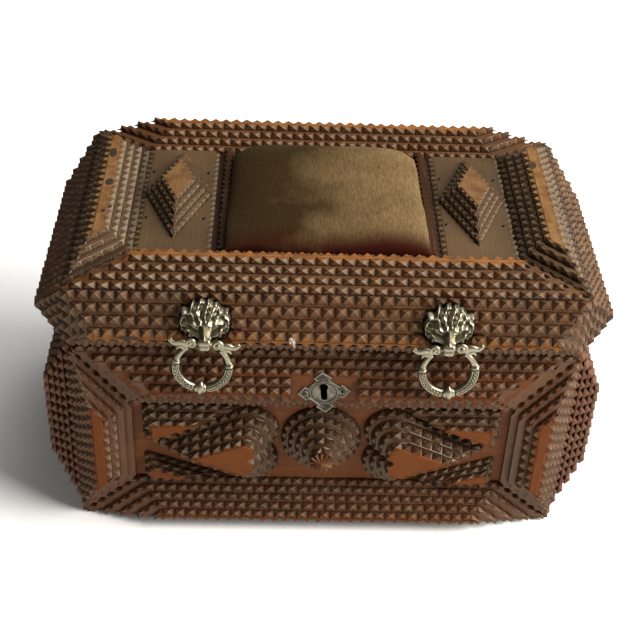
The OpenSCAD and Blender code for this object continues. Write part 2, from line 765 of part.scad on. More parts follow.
// Knuckles of one hinge: the outer pair on the base leaf, the middle one on the lid leaf
module knuckle_at(place) {
    translate([place * (knuckle_l + knuckle_gap), axis_y, axis_z]) rod(knuckle_r, knuckle_l);
}

module hinge_leaf(side, z0, z1, places, others, hole_z, turn) {
    color(brass) difference() {
        union() {
            block(side * hinge_x - hinge_l / 2, half_d - leaf_d, z0,
                  side * hinge_x + hinge_l / 2, half_d, z1);
            translate([side * hinge_x, 0, 0]) for (place = places) knuckle_at(place);
        }
        translate([side * hinge_x, 0, 0]) for (place = others)
            translate([place * (knuckle_l + knuckle_gap), axis_y, axis_z])
                rod(knuckle_r + knuckle_gap, knuckle_l + 2 * knuckle_gap);
        translate([side * hinge_x, axis_y, axis_z]) rod(hinge_pin_r + pin_gap, hinge_l + 2 * cut);
        translate([0, 0, hole_z]) mirror([0, 0, turn]) at_hinge_screws() screw_hole(screw_l);
    }
}

module hinge_base_leaf(side) { hinge_leaf(side, base_h - leaf_t, base_h, [-1, 1], [0], base_h, 0); }

module hinge_lid_leaf(side) { hinge_leaf(side, lid_z, lid_z + leaf_t, [0], [-1, 1], lid_z, 1); }

module hinge_pins() {
    color(steel) for (side = [-1, 1])
        translate([side * hinge_x, axis_y, axis_z]) rod(hinge_pin_r, hinge_l);
}

module hinge_base_screws() {
    color(brass) translate([0, 0, base_h]) at_hinge_screws() screw(screw_l);
}

module hinge_lid_screws() {
    color(brass) translate([0, 0, lid_z]) mirror([0, 0, 1]) at_hinge_screws() screw(screw_l);
}

// Lid box

module lid_top_board() {
    color(dark_wood) block(-half_w, -half_d, lid_top_z - board_t, half_w, half_d, lid_top_z);
}

module lid_front_rail() {
    color(dark_wood) difference() {
        block(-half_w, -half_d, lid_z, half_w, -half_d + wall_t, lid_top_z - board_t - glue_line);
        for (side = [-1, 1]) translate([side * pull_x, -half_d - cut, lion_mid_z]) rotate([-90, 0, 0])
            cylinder(r = stud_r + stud_gap, h = wall_t + 2 * cut);
        at_strike_screws() screw_hole(strike_t + short_screw_l);
    }
}

module lid_back_rail() {
    color(dark_wood) difference() {
        block(-half_w, half_d - wall_t, lid_z, half_w, half_d, lid_top_z - board_t - glue_line);
        for (side = [-1, 1]) hinge_recess(side, lid_z - cut, lid_z + leaf_t + leaf_gap);
        translate([0, 0, lid_z]) mirror([0, 0, 1]) at_hinge_screws() screw_hole(screw_l);
    }
}

module lid_side_rail(side) {
    rail_h = lid_h - board_t - glue_line;
    color(dark_wood) translate([side * (half_w - wall_t / 2), 0, lid_z + rail_h / 2])
        cube([wall_t, core_d - 2 * wall_t - 2 * edge_gap, rail_h], center = true);
}

// Lid top frame

module top_front_bar() {
    color(red_wood) on_lid() translate([0, -half_d, 0])
        stack(bar(core_w, top_bar_w, 1, 1, 0, 0, edge_gap),
              bar(core_w, top_bar_w, 1, 1, top_inset, top_inset, top_inset), top_layers);
}

module top_back_bar() {
    m = back_mitre;
    mitre = (top_layers - 1) * back_mitre_step;
    color(red_wood) on_lid() translate([0, half_d, 0]) rotate(180)
        stack(bar(core_w, top_back_bar_w, m, m, 0, 0, edge_gap),
              bar(core_w, top_back_bar_w, m, m, 0, top_inset, mitre), top_layers);
}

module top_side_bar(side) {
    back = 1 / back_mitre;
    color(red_wood) on_lid() mirror([side > 0 ? 1 : 0, 0, 0])
        translate([-half_w, 0, 0]) rotate(-90)
            stack(bar(core_d, top_bar_w, back, 1, 0, 0, edge_gap),
                  bar(core_d, top_bar_w, back, 1, top_outer_inset, top_inset, top_inset), top_layers);
}

// Lid sides

module lid_front_stack() {
    n = lid_front_layers - 1;
    color(red_wood) on_front() difference() {
        stack(rect(-half_w, lid_z, half_w, lid_top_z),
              rect(-half_w + n * lid_end_step, lid_z + lid_ridge_z, half_w - n * lid_end_step,
                   lid_z + lid_ridge_z + lid_ridge_h), lid_front_layers);
        for (side = [-1, 1]) translate([side * pull_x, lion_mid_z, 0]) {
            translate([0, 0, lion_seat]) cylinder(r = lion_r + edge_gap, h = lid_front_layers * layer_pitch);
            translate([0, 0, -cut]) cylinder(r = stud_r + stud_gap, h = lion_seat + 2 * cut);
        }
    }
}

module lid_back_stack() {
    n = lid_front_layers - 1;
    low = lid_z + swing_step;
    color(red_wood) on_back()
        stack(rect(-half_w, low, half_w, lid_top_z),
              rect(-half_w + n * lid_end_step, low + n * swing_step, half_w - n * lid_end_step,
                   low + n * swing_step + lid_ridge_h), lid_front_layers);
}

// The lid's side layers, seen from outside, with the front end on the left
module lid_side_layers_stack() {
    n = lid_side_layers - 1;
    color(red_wood)
        stack(rect(-half_d, lid_z, half_d, lid_top_z),
              rect(-half_d + n * lid_side_front_step, lid_z + lid_ridge_z, half_d - n * lid_side_back_step,
                   lid_z + lid_ridge_z + lid_ridge_h), lid_side_layers, lid_side_t);
}

// Lid field: panels, diamonds, strips and cushion

module field_panel(side) {
    panel_l = field_l - 2 * edge_gap;
    color(dark_wood) on_lid() translate([side * panel_x, field_mid_y, glue_line]) difference() {
        translate([-panel_w / 2, -panel_l / 2, 0]) cube([panel_w, panel_l, panel_t]);
        at_panel_tacks() translate([0, 0, -cut]) cylinder(r = pin_r + screw_gap, h = panel_t + 2 * cut);
    }
}

// Tacks near the panel's corners
module at_panel_tacks() {
    for (u = [-1, 1], v = [-1, 1])
        translate([u * (panel_w / 2 - tack_edge), v * tack_span / 2 + diamond_back, 0])
            children();
}

module panel_tacks() {
    color(brass) on_lid() for (side = [-1, 1])
        translate([side * panel_x, field_mid_y, 0]) at_panel_tacks() {
            translate([0, 0, glue_line]) cylinder(r = pin_r, h = panel_t + glue_line);
            translate([0, 0, panel_t + 2 * glue_line]) cylinder(r1 = tack_r, r2 = pin_r, h = tack_h);
        }
}

module diamond(side) {
    a = diamond_w / 2;
    b = diamond_l / 2;
    outer = [[-a, 0], [0, -b], [a, 0], [0, b]];
    color(red_wood) on_lid() translate([side * panel_x, field_mid_y + diamond_back, glue_line + panel_t])
        stack(outer, outer * diamond_top, diamond_layers, diamond_t);
}

module cushion_strip(side) {
    color(dark_wood) on_lid() translate([side * strip_x, field_mid_y, glue_line + strip_h / 2])
        cube([strip_w, field_l - 2 * edge_gap, strip_h], center = true);
}

// Pincushion: a crowned pad, rounded in plan, its sides drawn in at the foot and between the corners
function signed_power(v, p) = sign(v) * pow(abs(v), p);

function cushion_point(i, j) =
    let (a = 360 * i / cushion_sides)
    let (rise = -cushion_tuck + (90 + cushion_tuck) * j / cushion_rings)
    let (reach = pow(cos(rise), cushion_full) * (1 - cushion_draw * pow(cos(2 * a), 2)))
    let (u = (cushion_w / 2) * reach * signed_power(cos(a), cushion_square))
    let (v = (cushion_l / 2) * reach * signed_power(sin(a), cushion_square))
    [u, v, cushion_h * (sin(rise) + sin(cushion_tuck)) / (1 + sin(cushion_tuck))];

module pincushion() {
    last = cushion_rings - 1;
    points = [for (j = [0:last], i = [0:cushion_sides - 1]) cushion_point(i, j),
              [0, 0, 0], [0, 0, cushion_h]];
    foot = cushion_sides * cushion_rings;
    faces = [for (j = [0:last - 1], i = [0:cushion_sides - 1])
                 let (n = (i + 1) % cushion_sides, p = j * cushion_sides, q = p + cushion_sides)
                 each [[p + i, q + i, q + n], [p + i, q + n, p + n]],
             for (i = [0:cushion_sides - 1]) [foot, i, (i + 1) % cushion_sides],
             for (i = [0:cushion_sides - 1])
                 [foot + 1, last * cushion_sides + (i + 1) % cushion_sides, last * cushion_sides + i]];
    color(velvet) on_lid() translate([0, field_mid_y, glue_line]) polyhedron(points, faces);
}

// Ring pulls

module lion_head(side) {
    seat_y = -half_d - lion_seat - glue_line;
    color(brass) difference() {
        union() {
            translate([side * pull_x, seat_y, lion_mid_z]) rotate([90, 0, 0]) {
                cylinder(r = lion_r, h = mane_t);
                translate([0, 0, mane_t - face_sink]) intersection() {
                    sphere(r = face_r);
                    cylinder(r = lion_r, h = lion_r);
                }
                translate([0, 0, -stud_l]) cylinder(r = stud_r, h = stud_l);
            }
            translate([side * pull_x, pull_pivot_y, pull_pivot_z]) {
                rod(jaw_bore_r + jaw_wall, jaw_w);
                translate([-jaw_w / 2, 0, 0]) cube([jaw_w, pivot_out - mane_t, jaw_bore_r + jaw_wall]);
            }
        }
        translate([side * pull_x, pull_pivot_y, pull_pivot_z]) rod(jaw_bore_r, jaw_w + 2 * cut);
    }
}

module lion_nuts() {
    color(steel) for (side = [-1, 1])
        translate([side * pull_x, nut_y + glue_line, lion_mid_z]) rotate([-90, 0, 0]) difference() {
            cylinder(r = nut_r, h = nut_t, $fn = 6);
            translate([0, 0, -cut]) cylinder(r = stud_r + stud_gap, h = nut_t + 2 * cut);
        }
}

module pull_ring(side) {
    color(brass) translate([side * pull_x, pull_pivot_y, pull_pivot_z]) rotate([-ring_lean, 0, 0])
        translate([0, 0, -ring_r]) {
            rotate([90, 0, 0]) rotate_extrude() translate([ring_r, 0]) circle(r = ring_bar_r);
            translate([0, 0, -ring_r - ring_bar_r]) sphere(r = bead_r);
            for (end = [-1, 1])
                translate([end * ring_r * sin(horn_angle), 0, ring_r * cos(horn_angle)])
                    rotate([0, end * horn_tilt, 0])
                        cylinder(r1 = horn_root_r, r2 = horn_tip_r, h = horn_l);
        }
}

bottom_board();
base_front_board();
base_back_board();
base_side_board(-1);  // base_left_board
base_side_board(1);  // base_right_board
base_top_bar();
base_bottom_bar();
base_post(-1);  // base_left_bar
base_post(1);  // base_right_bar
on_left() base_side_layers_stack();  // base_left_stack
on_right() base_side_layers_stack();  // base_right_stack
base_back_stack();
heart_on_side(-1);  // left_heart
heart_on_side(1);  // right_heart
rosette();
upper_corner(-1);  // upper_left_corner
upper_corner(1);  // upper_right_corner
lower_corner(-1);  // lower_left_corner
lower_corner(1);  // lower_right_corner
escutcheon();
escutcheon_pins();
lock_case();
lock_bolt();
lock_screws();
hinge_base_leaf(-1);  // left_hinge_base_leaf
hinge_base_leaf(1);  // right_hinge_base_leaf
hinge_pins();
hinge_base_screws();
lid_top_board();
lid_front_rail();
lid_back_rail();
lid_side_rail(-1);  // lid_left_rail
lid_side_rail(1);  // lid_right_rail
top_front_bar();
top_back_bar();
top_side_bar(-1);  // top_left_bar
top_side_bar(1);  // top_right_bar
lid_front_stack();
lid_back_stack();
on_left() mirror([1, 0, 0]) lid_side_layers_stack();  // lid_left_stack
on_right() lid_side_layers_stack();  // lid_right_stack
field_panel(-1);  // left_field_panel
field_panel(1);  // right_field_panel
diamond(-1);  // left_diamond
diamond(1);  // right_diamond
cushion_strip(-1);  // left_cushion_strip
cushion_strip(1);  // right_cushion_strip
pincushion();
panel_tacks();
lion_head(-1);  // left_lion_head
lion_head(1);  // right_lion_head
lion_nuts();
pull_ring(-1);  // left_ring
pull_ring(1);  // right_ring
hinge_lid_leaf(-1);  // left_hinge_lid_leaf
hinge_lid_leaf(1);  // right_hinge_lid_leaf
hinge_lid_screws();
strike_plate();
strike_screws();
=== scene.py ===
"""Dresses a tramp art box: notched wood layers, a velvet pincushion, lion ring pulls and a keyhole plate."""

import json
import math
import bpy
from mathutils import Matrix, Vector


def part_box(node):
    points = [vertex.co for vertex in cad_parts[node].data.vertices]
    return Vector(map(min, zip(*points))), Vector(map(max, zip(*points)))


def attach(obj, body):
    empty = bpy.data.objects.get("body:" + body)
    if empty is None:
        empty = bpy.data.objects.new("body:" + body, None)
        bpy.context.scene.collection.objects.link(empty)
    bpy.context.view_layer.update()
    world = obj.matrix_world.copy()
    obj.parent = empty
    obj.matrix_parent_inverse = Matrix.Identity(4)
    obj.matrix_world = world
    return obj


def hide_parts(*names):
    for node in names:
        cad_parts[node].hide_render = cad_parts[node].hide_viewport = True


bl_info = {
    "name": "Tramp Art Box",
    "version": (1, 0, 0),
    "blender": (4, 5, 0),
    "location": "3D View > Sidebar > Tramp Art Box",
    "description": "Dresses the packed box in notched wood, velvet, cast brass and pewter",
    "category": "Object",
}

import bmesh
import bpy
from mathutils import Matrix, Vector, geometry, noise

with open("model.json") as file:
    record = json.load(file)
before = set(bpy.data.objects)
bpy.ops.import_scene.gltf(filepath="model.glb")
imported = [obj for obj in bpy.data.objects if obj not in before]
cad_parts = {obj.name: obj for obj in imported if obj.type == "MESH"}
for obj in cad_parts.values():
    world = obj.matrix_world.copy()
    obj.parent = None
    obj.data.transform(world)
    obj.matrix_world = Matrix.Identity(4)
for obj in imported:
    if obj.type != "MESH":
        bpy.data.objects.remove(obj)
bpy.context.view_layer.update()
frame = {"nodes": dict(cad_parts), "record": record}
MM = 0.001


def linear(text):
    """Turn an sRGB hex colour into linear red, green, blue and alpha."""
    parts = [int(text[i:i + 2], 16) / 255 for i in (1, 3, 5)]
    return tuple(p / 12.92 if p <= 0.04045 else ((p + 0.055) / 1.055) ** 2.4 for p in parts) + (1.0,)


def length(name, description, default_mm):
    """A size in metres, given in millimetres."""
    return bpy.props.FloatProperty(name=name, description=description, default=default_mm * MM,
                                   min=0.0, unit="LENGTH", subtype="DISTANCE", precision=5)


def share(name, description, default):
    """A share from 0 to 1."""
    return bpy.props.FloatProperty(name=name, description=description, default=default,
                                   min=0.0, max=1.0, subtype="FACTOR")


def colour(name, description, default):
    """A colour, given as an sRGB hex value."""
    return bpy.props.FloatVectorProperty(name=name, description=description, default=linear(default),
                                         size=4, min=0.0, max=1.0, subtype="COLOR")


class TRAMPBOX_PG_notches(bpy.types.PropertyGroup):
    """Sizes of the notches cut along every layer."""
    pitch: length("Pitch", "Distance from one notch to the next", 5.7)
    depth: length("Depth", "How far a notch reaches in from the layer's edge", 3.3)
    shortest: length("Shortest edge", "Edges shorter than this stay plain", 5.5)
    valley: length("Valley", "Wood left in the bottom of a notch", 0.2)
    unevenness: share("Unevenness", "How much the hand-cut teeth differ in height", 0.14)
    seed: bpy.props.IntProperty(name="Seed", description="Seed of the uneven cutting", default=7)


class TRAMPBOX_PG_woods(bpy.types.PropertyGroup):
    """Colours of the woods."""
    stain: colour("Stain", "Dark brown stain on the lid's layers", "#28170b")
    stain_light: colour("Worn stain", "Lid stain where it has worn thin", "#4f2f17")
    red_stain: colour("Red stain", "Dark red-brown stain on the base's layers", "#28130a")
    red_light: colour("Worn red stain", "Base stain where it has worn thin", "#4c2914")
    dusty: colour("Dusty stain", "Stain on the lid's side bars, greyed by dust", "#261b11")
    dusty_light: colour("Worn dusty stain", "Side bars where the stain has worn thin", "#4c3a28")
    dusty_bare: colour("Dusty ridge", "Bare ridges of the side bars", "#735736")
    bare: colour("Bare ridge", "Bare cigar-box cedar on the ridges", "#80542e")
    red_bare: colour("Bare red ridge", "Bare cedar on the base's posts and bars", "#5c3017")
    side_stain: colour("Side stain", "Red-brown stain on the base's sides", "#35180d")
    side_light: colour("Worn side stain", "Base's sides where the stain has worn thin", "#5c2f1b")
    # The aged stains are darker partly as painted shade on the hearts and corner pieces in the recess
    aged: colour("Aged stain", "Nearly black stain on the hearts and corner pieces", "#1a0e08")
    aged_light: colour("Worn aged stain", "Hearts where the stain has worn thin", "#38200f")
    aged_bare: colour("Bare hearts", "Bare tops of the hearts and corner pieces", "#5f3318")
    bare_dark: colour("Old ridge", "Handled places on the ridges", "#512f18")
    # Grime also paints shade in the cuts, and darkens the grain of the plain boards
    grime_and_shade: colour("Grime", "Old polish and dust in the notches", "#0b0603")
    # Rubbed edges are partly a painted highlight along the teeth's edges
    rubbed_and_lit: colour("Rubbed edge", "Edges rubbed by handling", "#8a795f")
    amber: colour("Amber", "Sheen of the old shellac", "#fff0d2")
    board: colour("Board", "Plain boards of the box", "#2b1910")
    field: colour("Field", "Olive-brown thin panels on the lid", "#30261a")
    field_light: colour("Worn field", "Panels where the stain has worn thin", "#4c3c27")
    recess: colour("Recess", "Bare orange-brown board behind the hearts", "#6b3c1b")
    mark: colour("Mark", "Dark stains on the bare ridges", "#2a241d")
    paint: colour("Paint", "Pale fleck of old paint on the lid's front", "#c9c2b8")


class TRAMPBOX_PG_velvet(bpy.types.PropertyGroup):
    """Sizes and colours of the pincushion."""
    pile: colour("Pile", "Olive-gold velvet pile", "#7d6646")
    pile_dark: colour("Crushed pile", "Crushed and shaded pile", "#1d1307")
    pile_worn: colour("Worn pile", "Maroon ground along the front edge", "#260c08")
    sheen: colour("Sheen", "Light caught by the tips of the pile", "#a8976f")
    voxel: length("Voxel", "Grain of the remeshed cover", 4.0)
    swell: length("Swell", "Most that the stuffing moves a point", 3.0)
    pressure: bpy.props.FloatProperty(name="Pressure", description="Push of the stuffing", default=4.0)
    spread: bpy.props.FloatProperty(name="Spread", description="Growth of the cover across its seat",
                                    default=1.08)
    corners: share("Corners", "How far the front corners are pushed out square", 0.25)
    overhang: length("Overhang", "How far the cover presses past its seat", 3.0)
    fill: share("Fill", "How tightly the cushion is stuffed", 0.85)


class TRAMPBOX_PG_metals(bpy.types.PropertyGroup):
    """Colours of the metals."""
    cast: colour("Cast brass", "Rubbed pale brass of the pulls", "#8d8672")
    tarnish: colour("Tarnish", "Dark hollows of the casting", "#100c06")
    pewter: colour("Pewter", "Dull grey keyhole plate", "#827e71")
    pewter_dark: colour("Pewter dirt", "Dirt on the keyhole plate", "#3b382f")
    old_brass: colour("Old brass", "Hinges, screws and tacks", "#6f5529")
    iron: colour("Iron", "Lock, strike and nuts", "#3b3632")


class TRAMPBOX_PG_stage(bpy.types.PropertyGroup):
    """Camera, floor and lights."""
    camera: bpy.props.FloatVectorProperty(name="Camera", description="Place of the camera", size=3,
                                          default=(-0.0236, -0.5648, 0.5106), subtype="TRANSLATION",
                                          unit="LENGTH")
    pitch: bpy.props.FloatProperty(name="Pitch", description="How far the camera looks down",
                                   default=math.radians(37.59), subtype="ANGLE", unit="ROTATION")
    yaw: bpy.props.FloatProperty(name="Yaw", description="Turn of the camera about the vertical",
                                 default=math.radians(-2.37), subtype="ANGLE", unit="ROTATION")
    roll: bpy.props.FloatProperty(name="Roll", description="Tilt of the picture",
                                  default=math.radians(2.74), subtype="ANGLE", unit="ROTATION")
    lens: bpy.props.FloatProperty(name="Lens", description="Focal length on a 36 mm sensor",
                                  default=73.18, unit="CAMERA")
    floor: colour("Floor", "Plain pale floor", "#f4f3f1")
    floor_fibre: colour("Floor fibre", "Fibres of the floor's paper", "#cbcbcb")


# Helpers for nodes and meshes

def fill_inputs(tree, node, inputs):
    """Set each named input of a node to a value, or link it to a socket."""
    for name, value in inputs.items():
        if isinstance(value, bpy.types.NodeSocket):
            tree.links.new(value, node.inputs[name])
        else:
            node.inputs[name].default_value = value


def add_node(tree, kind, settings=None, inputs=None, output=None):
    """Add one node, set its options, fill its inputs, and hand back the node or one of its outputs."""
    node = tree.nodes.new(kind)
    for name, value in (settings or {}).items():
        setattr(node, name, value)
    fill_inputs(tree, node, inputs or {})
    return node if output is None else node.outputs[output]


def new_material(name):
    """A material with a Principled shader; returns the material, its tree and the shader."""
    material = bpy.data.materials.new(name)
    material.use_nodes = True
    tree = material.node_tree
    tree.nodes.clear()
    shader = add_node(tree, "ShaderNodeBsdfPrincipled")
    add_node(tree, "ShaderNodeOutputMaterial", inputs={"Surface": shader.outputs["BSDF"]})
    return material, tree, shader


def noise_value(tree, vector, size_mm, detail=3.0, stretch=(1, 1, 1), low=0.35, high=0.65):
    """Noise with features of a real size, spread from 0 to 1 between two levels."""
    placed = add_node(tree, "ShaderNodeMapping", None, {"Vector": vector, "Scale": stretch}, "Vector")
    cloud = add_node(tree, "ShaderNodeTexNoise", None,
                     {"Vector": placed, "Scale": 1 / (size_mm * MM), "Detail": detail}, "Fac")
    return add_node(tree, "ShaderNodeMapRange", None,
                    {"Value": cloud, "From Min": low, "From Max": high}, "Result")


def new_piece(name, bm, material, smooth=False):
    """Turn a bmesh into an object at the origin."""
    mesh = bpy.data.meshes.new(name)
    bm.to_mesh(mesh)
    bm.free()
    mesh.polygons.foreach_set("use_smooth", [smooth] * len(mesh.polygons))
    mesh.materials.append(material)
    piece = bpy.data.objects.new(name, mesh)
    bpy.context.scene.collection.objects.link(piece)
    return piece


def finish_piece(piece, body, slot, *nodes):
    """Seat a finished piece on its body and hide the imported nodes that it stands for."""
    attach(piece, body)
    if nodes:
        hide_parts(*nodes)


def body_of_node(node):
    """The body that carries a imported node."""
    for body, nodes in frame["record"]["behaviour"]["bodies"].items():
        if node in nodes:
            return body
    raise RuntimeError(f"no body carries {node}")


def dress_node(node, material):
    """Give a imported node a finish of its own."""
    for slot in frame["nodes"][node].material_slots:
        slot.material = material


def ease(low, high, value):
    """Smooth step from 0 at low to 1 at high."""
    t = min(max((value - low) / (high - low), 0.0), 1.0)
    return t * t * (3 - 2 * t)


def bump_at(x, y, cx, cy, sx, sy):
    """A round hill of height 1 at a centre."""
    return math.exp(-((x - cx) / sx) ** 2 - ((y - cy) / sy) ** 2)


def bridge(bm, lower, upper):
    """Walls between two rings of as many points."""
    for i in range(len(lower)):
        j = (i + 1) % len(lower)
        bm.faces.new((lower[i], lower[j], upper[j], upper[i]))


def add_tube(bm, path, radii, sides=12, flatten=None, dirt=None):
    """Sweep a round section along a path; flatten squeezes it along a direction, dirt darkens its points."""
    hollow = bm.verts.layers.float.get("hollow")
    rings = []
    turn = None
    for i, here in enumerate(path):
        ahead = path[min(i + 1, len(path) - 1)] - path[max(i - 1, 0)]
        ahead.normalize()
        if turn is None:
            turn = ahead.orthogonal().normalized()
        turn = (turn - ahead * turn.dot(ahead)).normalized()
        other = ahead.cross(turn)
        ring = []
        for j in range(sides):
            a = math.tau * j / sides
            offset = (turn * math.cos(a) + other * math.sin(a)) * radii[i]
            if flatten:
                offset -= flatten[0] * offset.dot(flatten[0]) * flatten[1]
            vert = bm.verts.new(here + offset)
            if dirt:
                vert[hollow] = dirt(i, offset.normalized())
            ring.append(vert)
        rings.append(ring)
    for a, b in zip(rings, rings[1:]):
        bridge(bm, a, b)
    bm.faces.new(list(reversed(rings[0])))
    bm.faces.new(rings[-1])


def add_ball(bm, place, radius):
    """A small round bead."""
    made = bmesh.ops.create_icosphere(bm, subdivisions=2, radius=radius)
    for vert in made["verts"]:
        vert.co = place + vert.co


def smooth_path(points, steps):
    """Points along a smooth curve through the given ones."""
    path = []
    last = len(points) - 1
    for i in range(last):
        p0, p1, p2, p3 = points[max(i - 1, 0)], points[i], points[i + 1], points[min(i + 2, last)]
        for step in range(steps):
            t = step / steps
            path.append((p1 * 2 + (p2 - p0) * t + (p0 * 2 - p1 * 5 + p2 * 4 - p3) * t * t
                         + (p1 * 3 - p0 - p2 * 3 + p3) * t ** 3) / 2)
    return path + [points[last]]


# Materials

PRODUCT = {"operation": "MULTIPLY", "use_clamp": True}
SUM = {"operation": "ADD", "use_clamp": True}
LARGER = {"operation": "MAXIMUM", "use_clamp": True}
POWER = {"operation": "POWER", "use_clamp": True}
COLOURS = {"data_type": "RGBA"}

# Sockets of a Mix node that mixes colours
FACTOR, FIRST, SECOND, MIXED = 0, 6, 7, 2

# Each cedar: its material's name, the woods colours of its stain, worn stain and bare ridges, and how
# much of a cut is darkened with grime and painted shade
CEDARS = {
    # Warm brown, on the lid's layers
    "lid": ("stained_cedar", "stain", "stain_light", "bare", 0.92),
    # Redder brown, on the base's frame
    "base": ("red_stained_cedar", "red_stain", "red_light", "red_bare", 0.92),
    # Greyed by dust, on the lid's side bars and diamonds
    "dusty": ("dusty_cedar", "dusty", "dusty_light", "dusty_bare", 0.92),
    # Red, with less grime and painted shade in the cuts, on the base's sides
    "side": ("side_cedar", "side_stain", "side_light", "red_bare", 0.6),
    # Nearly black, on the hearts, the rosette and the corner pieces; darker partly as painted shade of the
    # recess they sit in
    "aged": ("aged_cedar", "aged", "aged_light", "aged_bare", 0.92),
    # Thin and olive, on the lid's panels
    "field": ("field_cedar", "field", "field_light", "bare", 0.92),
}

# How strongly each cause wears, soils or darkens the cedar's stain; rubbed edges are partly a painted
# highlight, and negative bare tones get painted shade
FLAT_WEAR = 0.45
TOOTH_WEAR = 0.4
PATCH_WEAR = 0.45
FIBRE_SHARE = 0.35
RUBBED_AND_LIT_SHARE = 0.65
PAINTED_SHADE_SHARE = 0.75
RIM_FALLOFF = 6.0
CUT_FALLOFF = 2.0

# Each metal: its material's name, the metals colours of its face and hollows, its roughness, the size of
# its spots in millimetres and how much they darken it
METALS = {
    # Rubbed pale and bright, on the lions and bails
    "cast_brass": ("cast_brass", "cast", "tarnish", 0.3, 1.6, 0.25),
    # Dull and grey, on the keyhole plate
    "pewter": ("dull_pewter", "pewter", "pewter_dark", 0.48, 2.2, 0.5),
    # Yellow and dull, on the hinges and screws
    "old_brass": ("old_brass", "old_brass", "tarnish", 0.36, 1.2, 0.35),
    # Dark and rough, on the lock, strike and nuts
    "iron": ("dark_iron", "iron", "tarnish", 0.5, 1.8, 0.5),
}
DIRT_ROUGHNESS = 0.25


def stained_cedar(kind):
    """Cigar-box cedar, stained and shellacked: dull red-brown, dark in the cuts with grime and painted shade,
    pale on rubbed edges with a painted highlight.
    """
    woods = bpy.context.scene.box_woods
    name, stain_tint, worn_tint, bare_tint, grime_and_shade_share = CEDARS[kind]
    dark, light, pale = (tuple(getattr(woods, tint)) for tint in (stain_tint, worn_tint, bare_tint))
    handled = tuple(woods.bare_dark)
    material, tree, shader = new_material(name)
    places = add_node(tree, "ShaderNodeTexCoord", output="Object")
    along = add_node(tree, "ShaderNodeAttribute", {"attribute_name": "grain"}, output="Vector")
    crown, tone, bare, rim, hollow = (
        add_node(tree, "ShaderNodeAttribute", {"attribute_name": cut}, output="Fac")
        for cut in ("crown", "tone", "bare", "rim", "hollow"))
    patches = noise_value(tree, places, size_mm=34)
    blotches = noise_value(tree, places, size_mm=7, detail=4.0, low=0.4, high=0.75)
    fibres = noise_value(tree, along, size_mm=14, detail=4.0, stretch=(1, 16, 16), low=0.3, high=0.7)

    # Stain, worn thin on the flats, on some teeth and in patches
    flat_wear = add_node(tree, "ShaderNodeMath", PRODUCT, {0: crown, 1: FLAT_WEAR}, "Value")
    tooth_wear = add_node(tree, "ShaderNodeMath", PRODUCT, {0: tone, 1: TOOTH_WEAR}, "Value")
    patch_wear = add_node(tree, "ShaderNodeMath", PRODUCT, {0: patches, 1: PATCH_WEAR}, "Value")
    cut_wear = add_node(tree, "ShaderNodeMath", SUM, {0: tooth_wear, 1: flat_wear}, "Value")
    worn = add_node(tree, "ShaderNodeMath", SUM, {0: patch_wear, 1: cut_wear}, "Value")
    stain = add_node(tree, "ShaderNodeMix", COLOURS, {FACTOR: worn, FIRST: dark, SECOND: light}, MIXED)

    # Bare wood on the ridges, and fibres all over
    ridge = add_node(tree, "ShaderNodeMix", COLOURS, {FACTOR: blotches, FIRST: pale, SECOND: handled}, MIXED)
    bared = add_node(tree, "ShaderNodeMath", PRODUCT, {0: bare, 1: crown}, "Value")
    wood = add_node(tree, "ShaderNodeMix", COLOURS, {FACTOR: bared, FIRST: stain, SECOND: ridge}, MIXED)
    lines = add_node(tree, "ShaderNodeMath", PRODUCT, {0: fibres, 1: FIBRE_SHARE}, "Value")
    streaked = add_node(tree, "ShaderNodeMix", COLOURS, {FACTOR: lines, FIRST: wood, SECOND: handled}, MIXED)

    # Edges rubbed pale with a painted highlight, then painted shade on hole walls and grime with painted
    # shade in the cuts
    edge = add_node(tree, "ShaderNodeMath", POWER, {0: rim, 1: RIM_FALLOFF}, "Value")
    chafed_and_lit = add_node(tree, "ShaderNodeMath", PRODUCT, {0: edge, 1: blotches}, "Value")
    rubbed_and_lit = add_node(tree, "ShaderNodeMath", PRODUCT, {0: chafed_and_lit, 1: RUBBED_AND_LIT_SHARE}, "Value")
    edged = add_node(tree, "ShaderNodeMix", COLOURS,
                     {FACTOR: rubbed_and_lit, FIRST: streaked, SECOND: tuple(woods.rubbed_and_lit)}, MIXED)
    # Negative bare tones, on hole walls and some layers, are darkened as painted shade
    shade_tone = add_node(tree, "ShaderNodeMath", PRODUCT, {0: bare, 1: -1.0}, "Value")
    painted_shade = add_node(tree, "ShaderNodeMath", PRODUCT, {0: shade_tone, 1: PAINTED_SHADE_SHARE}, "Value")
    # Cuts are darkened by their hollow, as grime and painted shade
    cuts = add_node(tree, "ShaderNodeMath", POWER, {0: hollow, 1: CUT_FALLOFF}, "Value")
    dirt = add_node(tree, "ShaderNodeMath", LARGER, {0: painted_shade, 1: cuts}, "Value")
    grime_and_shade = add_node(tree, "ShaderNodeMath", PRODUCT, {0: dirt, 1: grime_and_shade_share}, "Value")
    grimed_and_shaded = add_node(tree, "ShaderNodeMix", COLOURS,
                     {FACTOR: grime_and_shade, FIRST: edged, SECOND: tuple(woods.grime_and_shade)}, MIXED)

    # Old shellac shines, but bare wood, grime and the painted shade are dull
    dull = add_node(tree, "ShaderNodeMath", LARGER, {0: bared, 1: dirt}, "Value")
    sheen = add_node(tree, "ShaderNodeMapRange", None,
                     {"Value": dull, "To Min": 0.36, "To Max": 0.04}, "Result")
    rough = add_node(tree, "ShaderNodeMapRange", None,
                     {"Value": blotches, "To Min": 0.42, "To Max": 0.55}, "Result")
    relief = add_node(tree, "ShaderNodeBump", None,
                      {"Height": fibres, "Strength": 0.6, "Distance": 0.12 * MM}, "Normal")
    fill_inputs(tree, shader, {"Base Color": grimed_and_shaded, "Roughness": rough, "Specular IOR Level": sheen,
                               "Specular Tint": tuple(woods.amber), "Normal": relief})
    return material


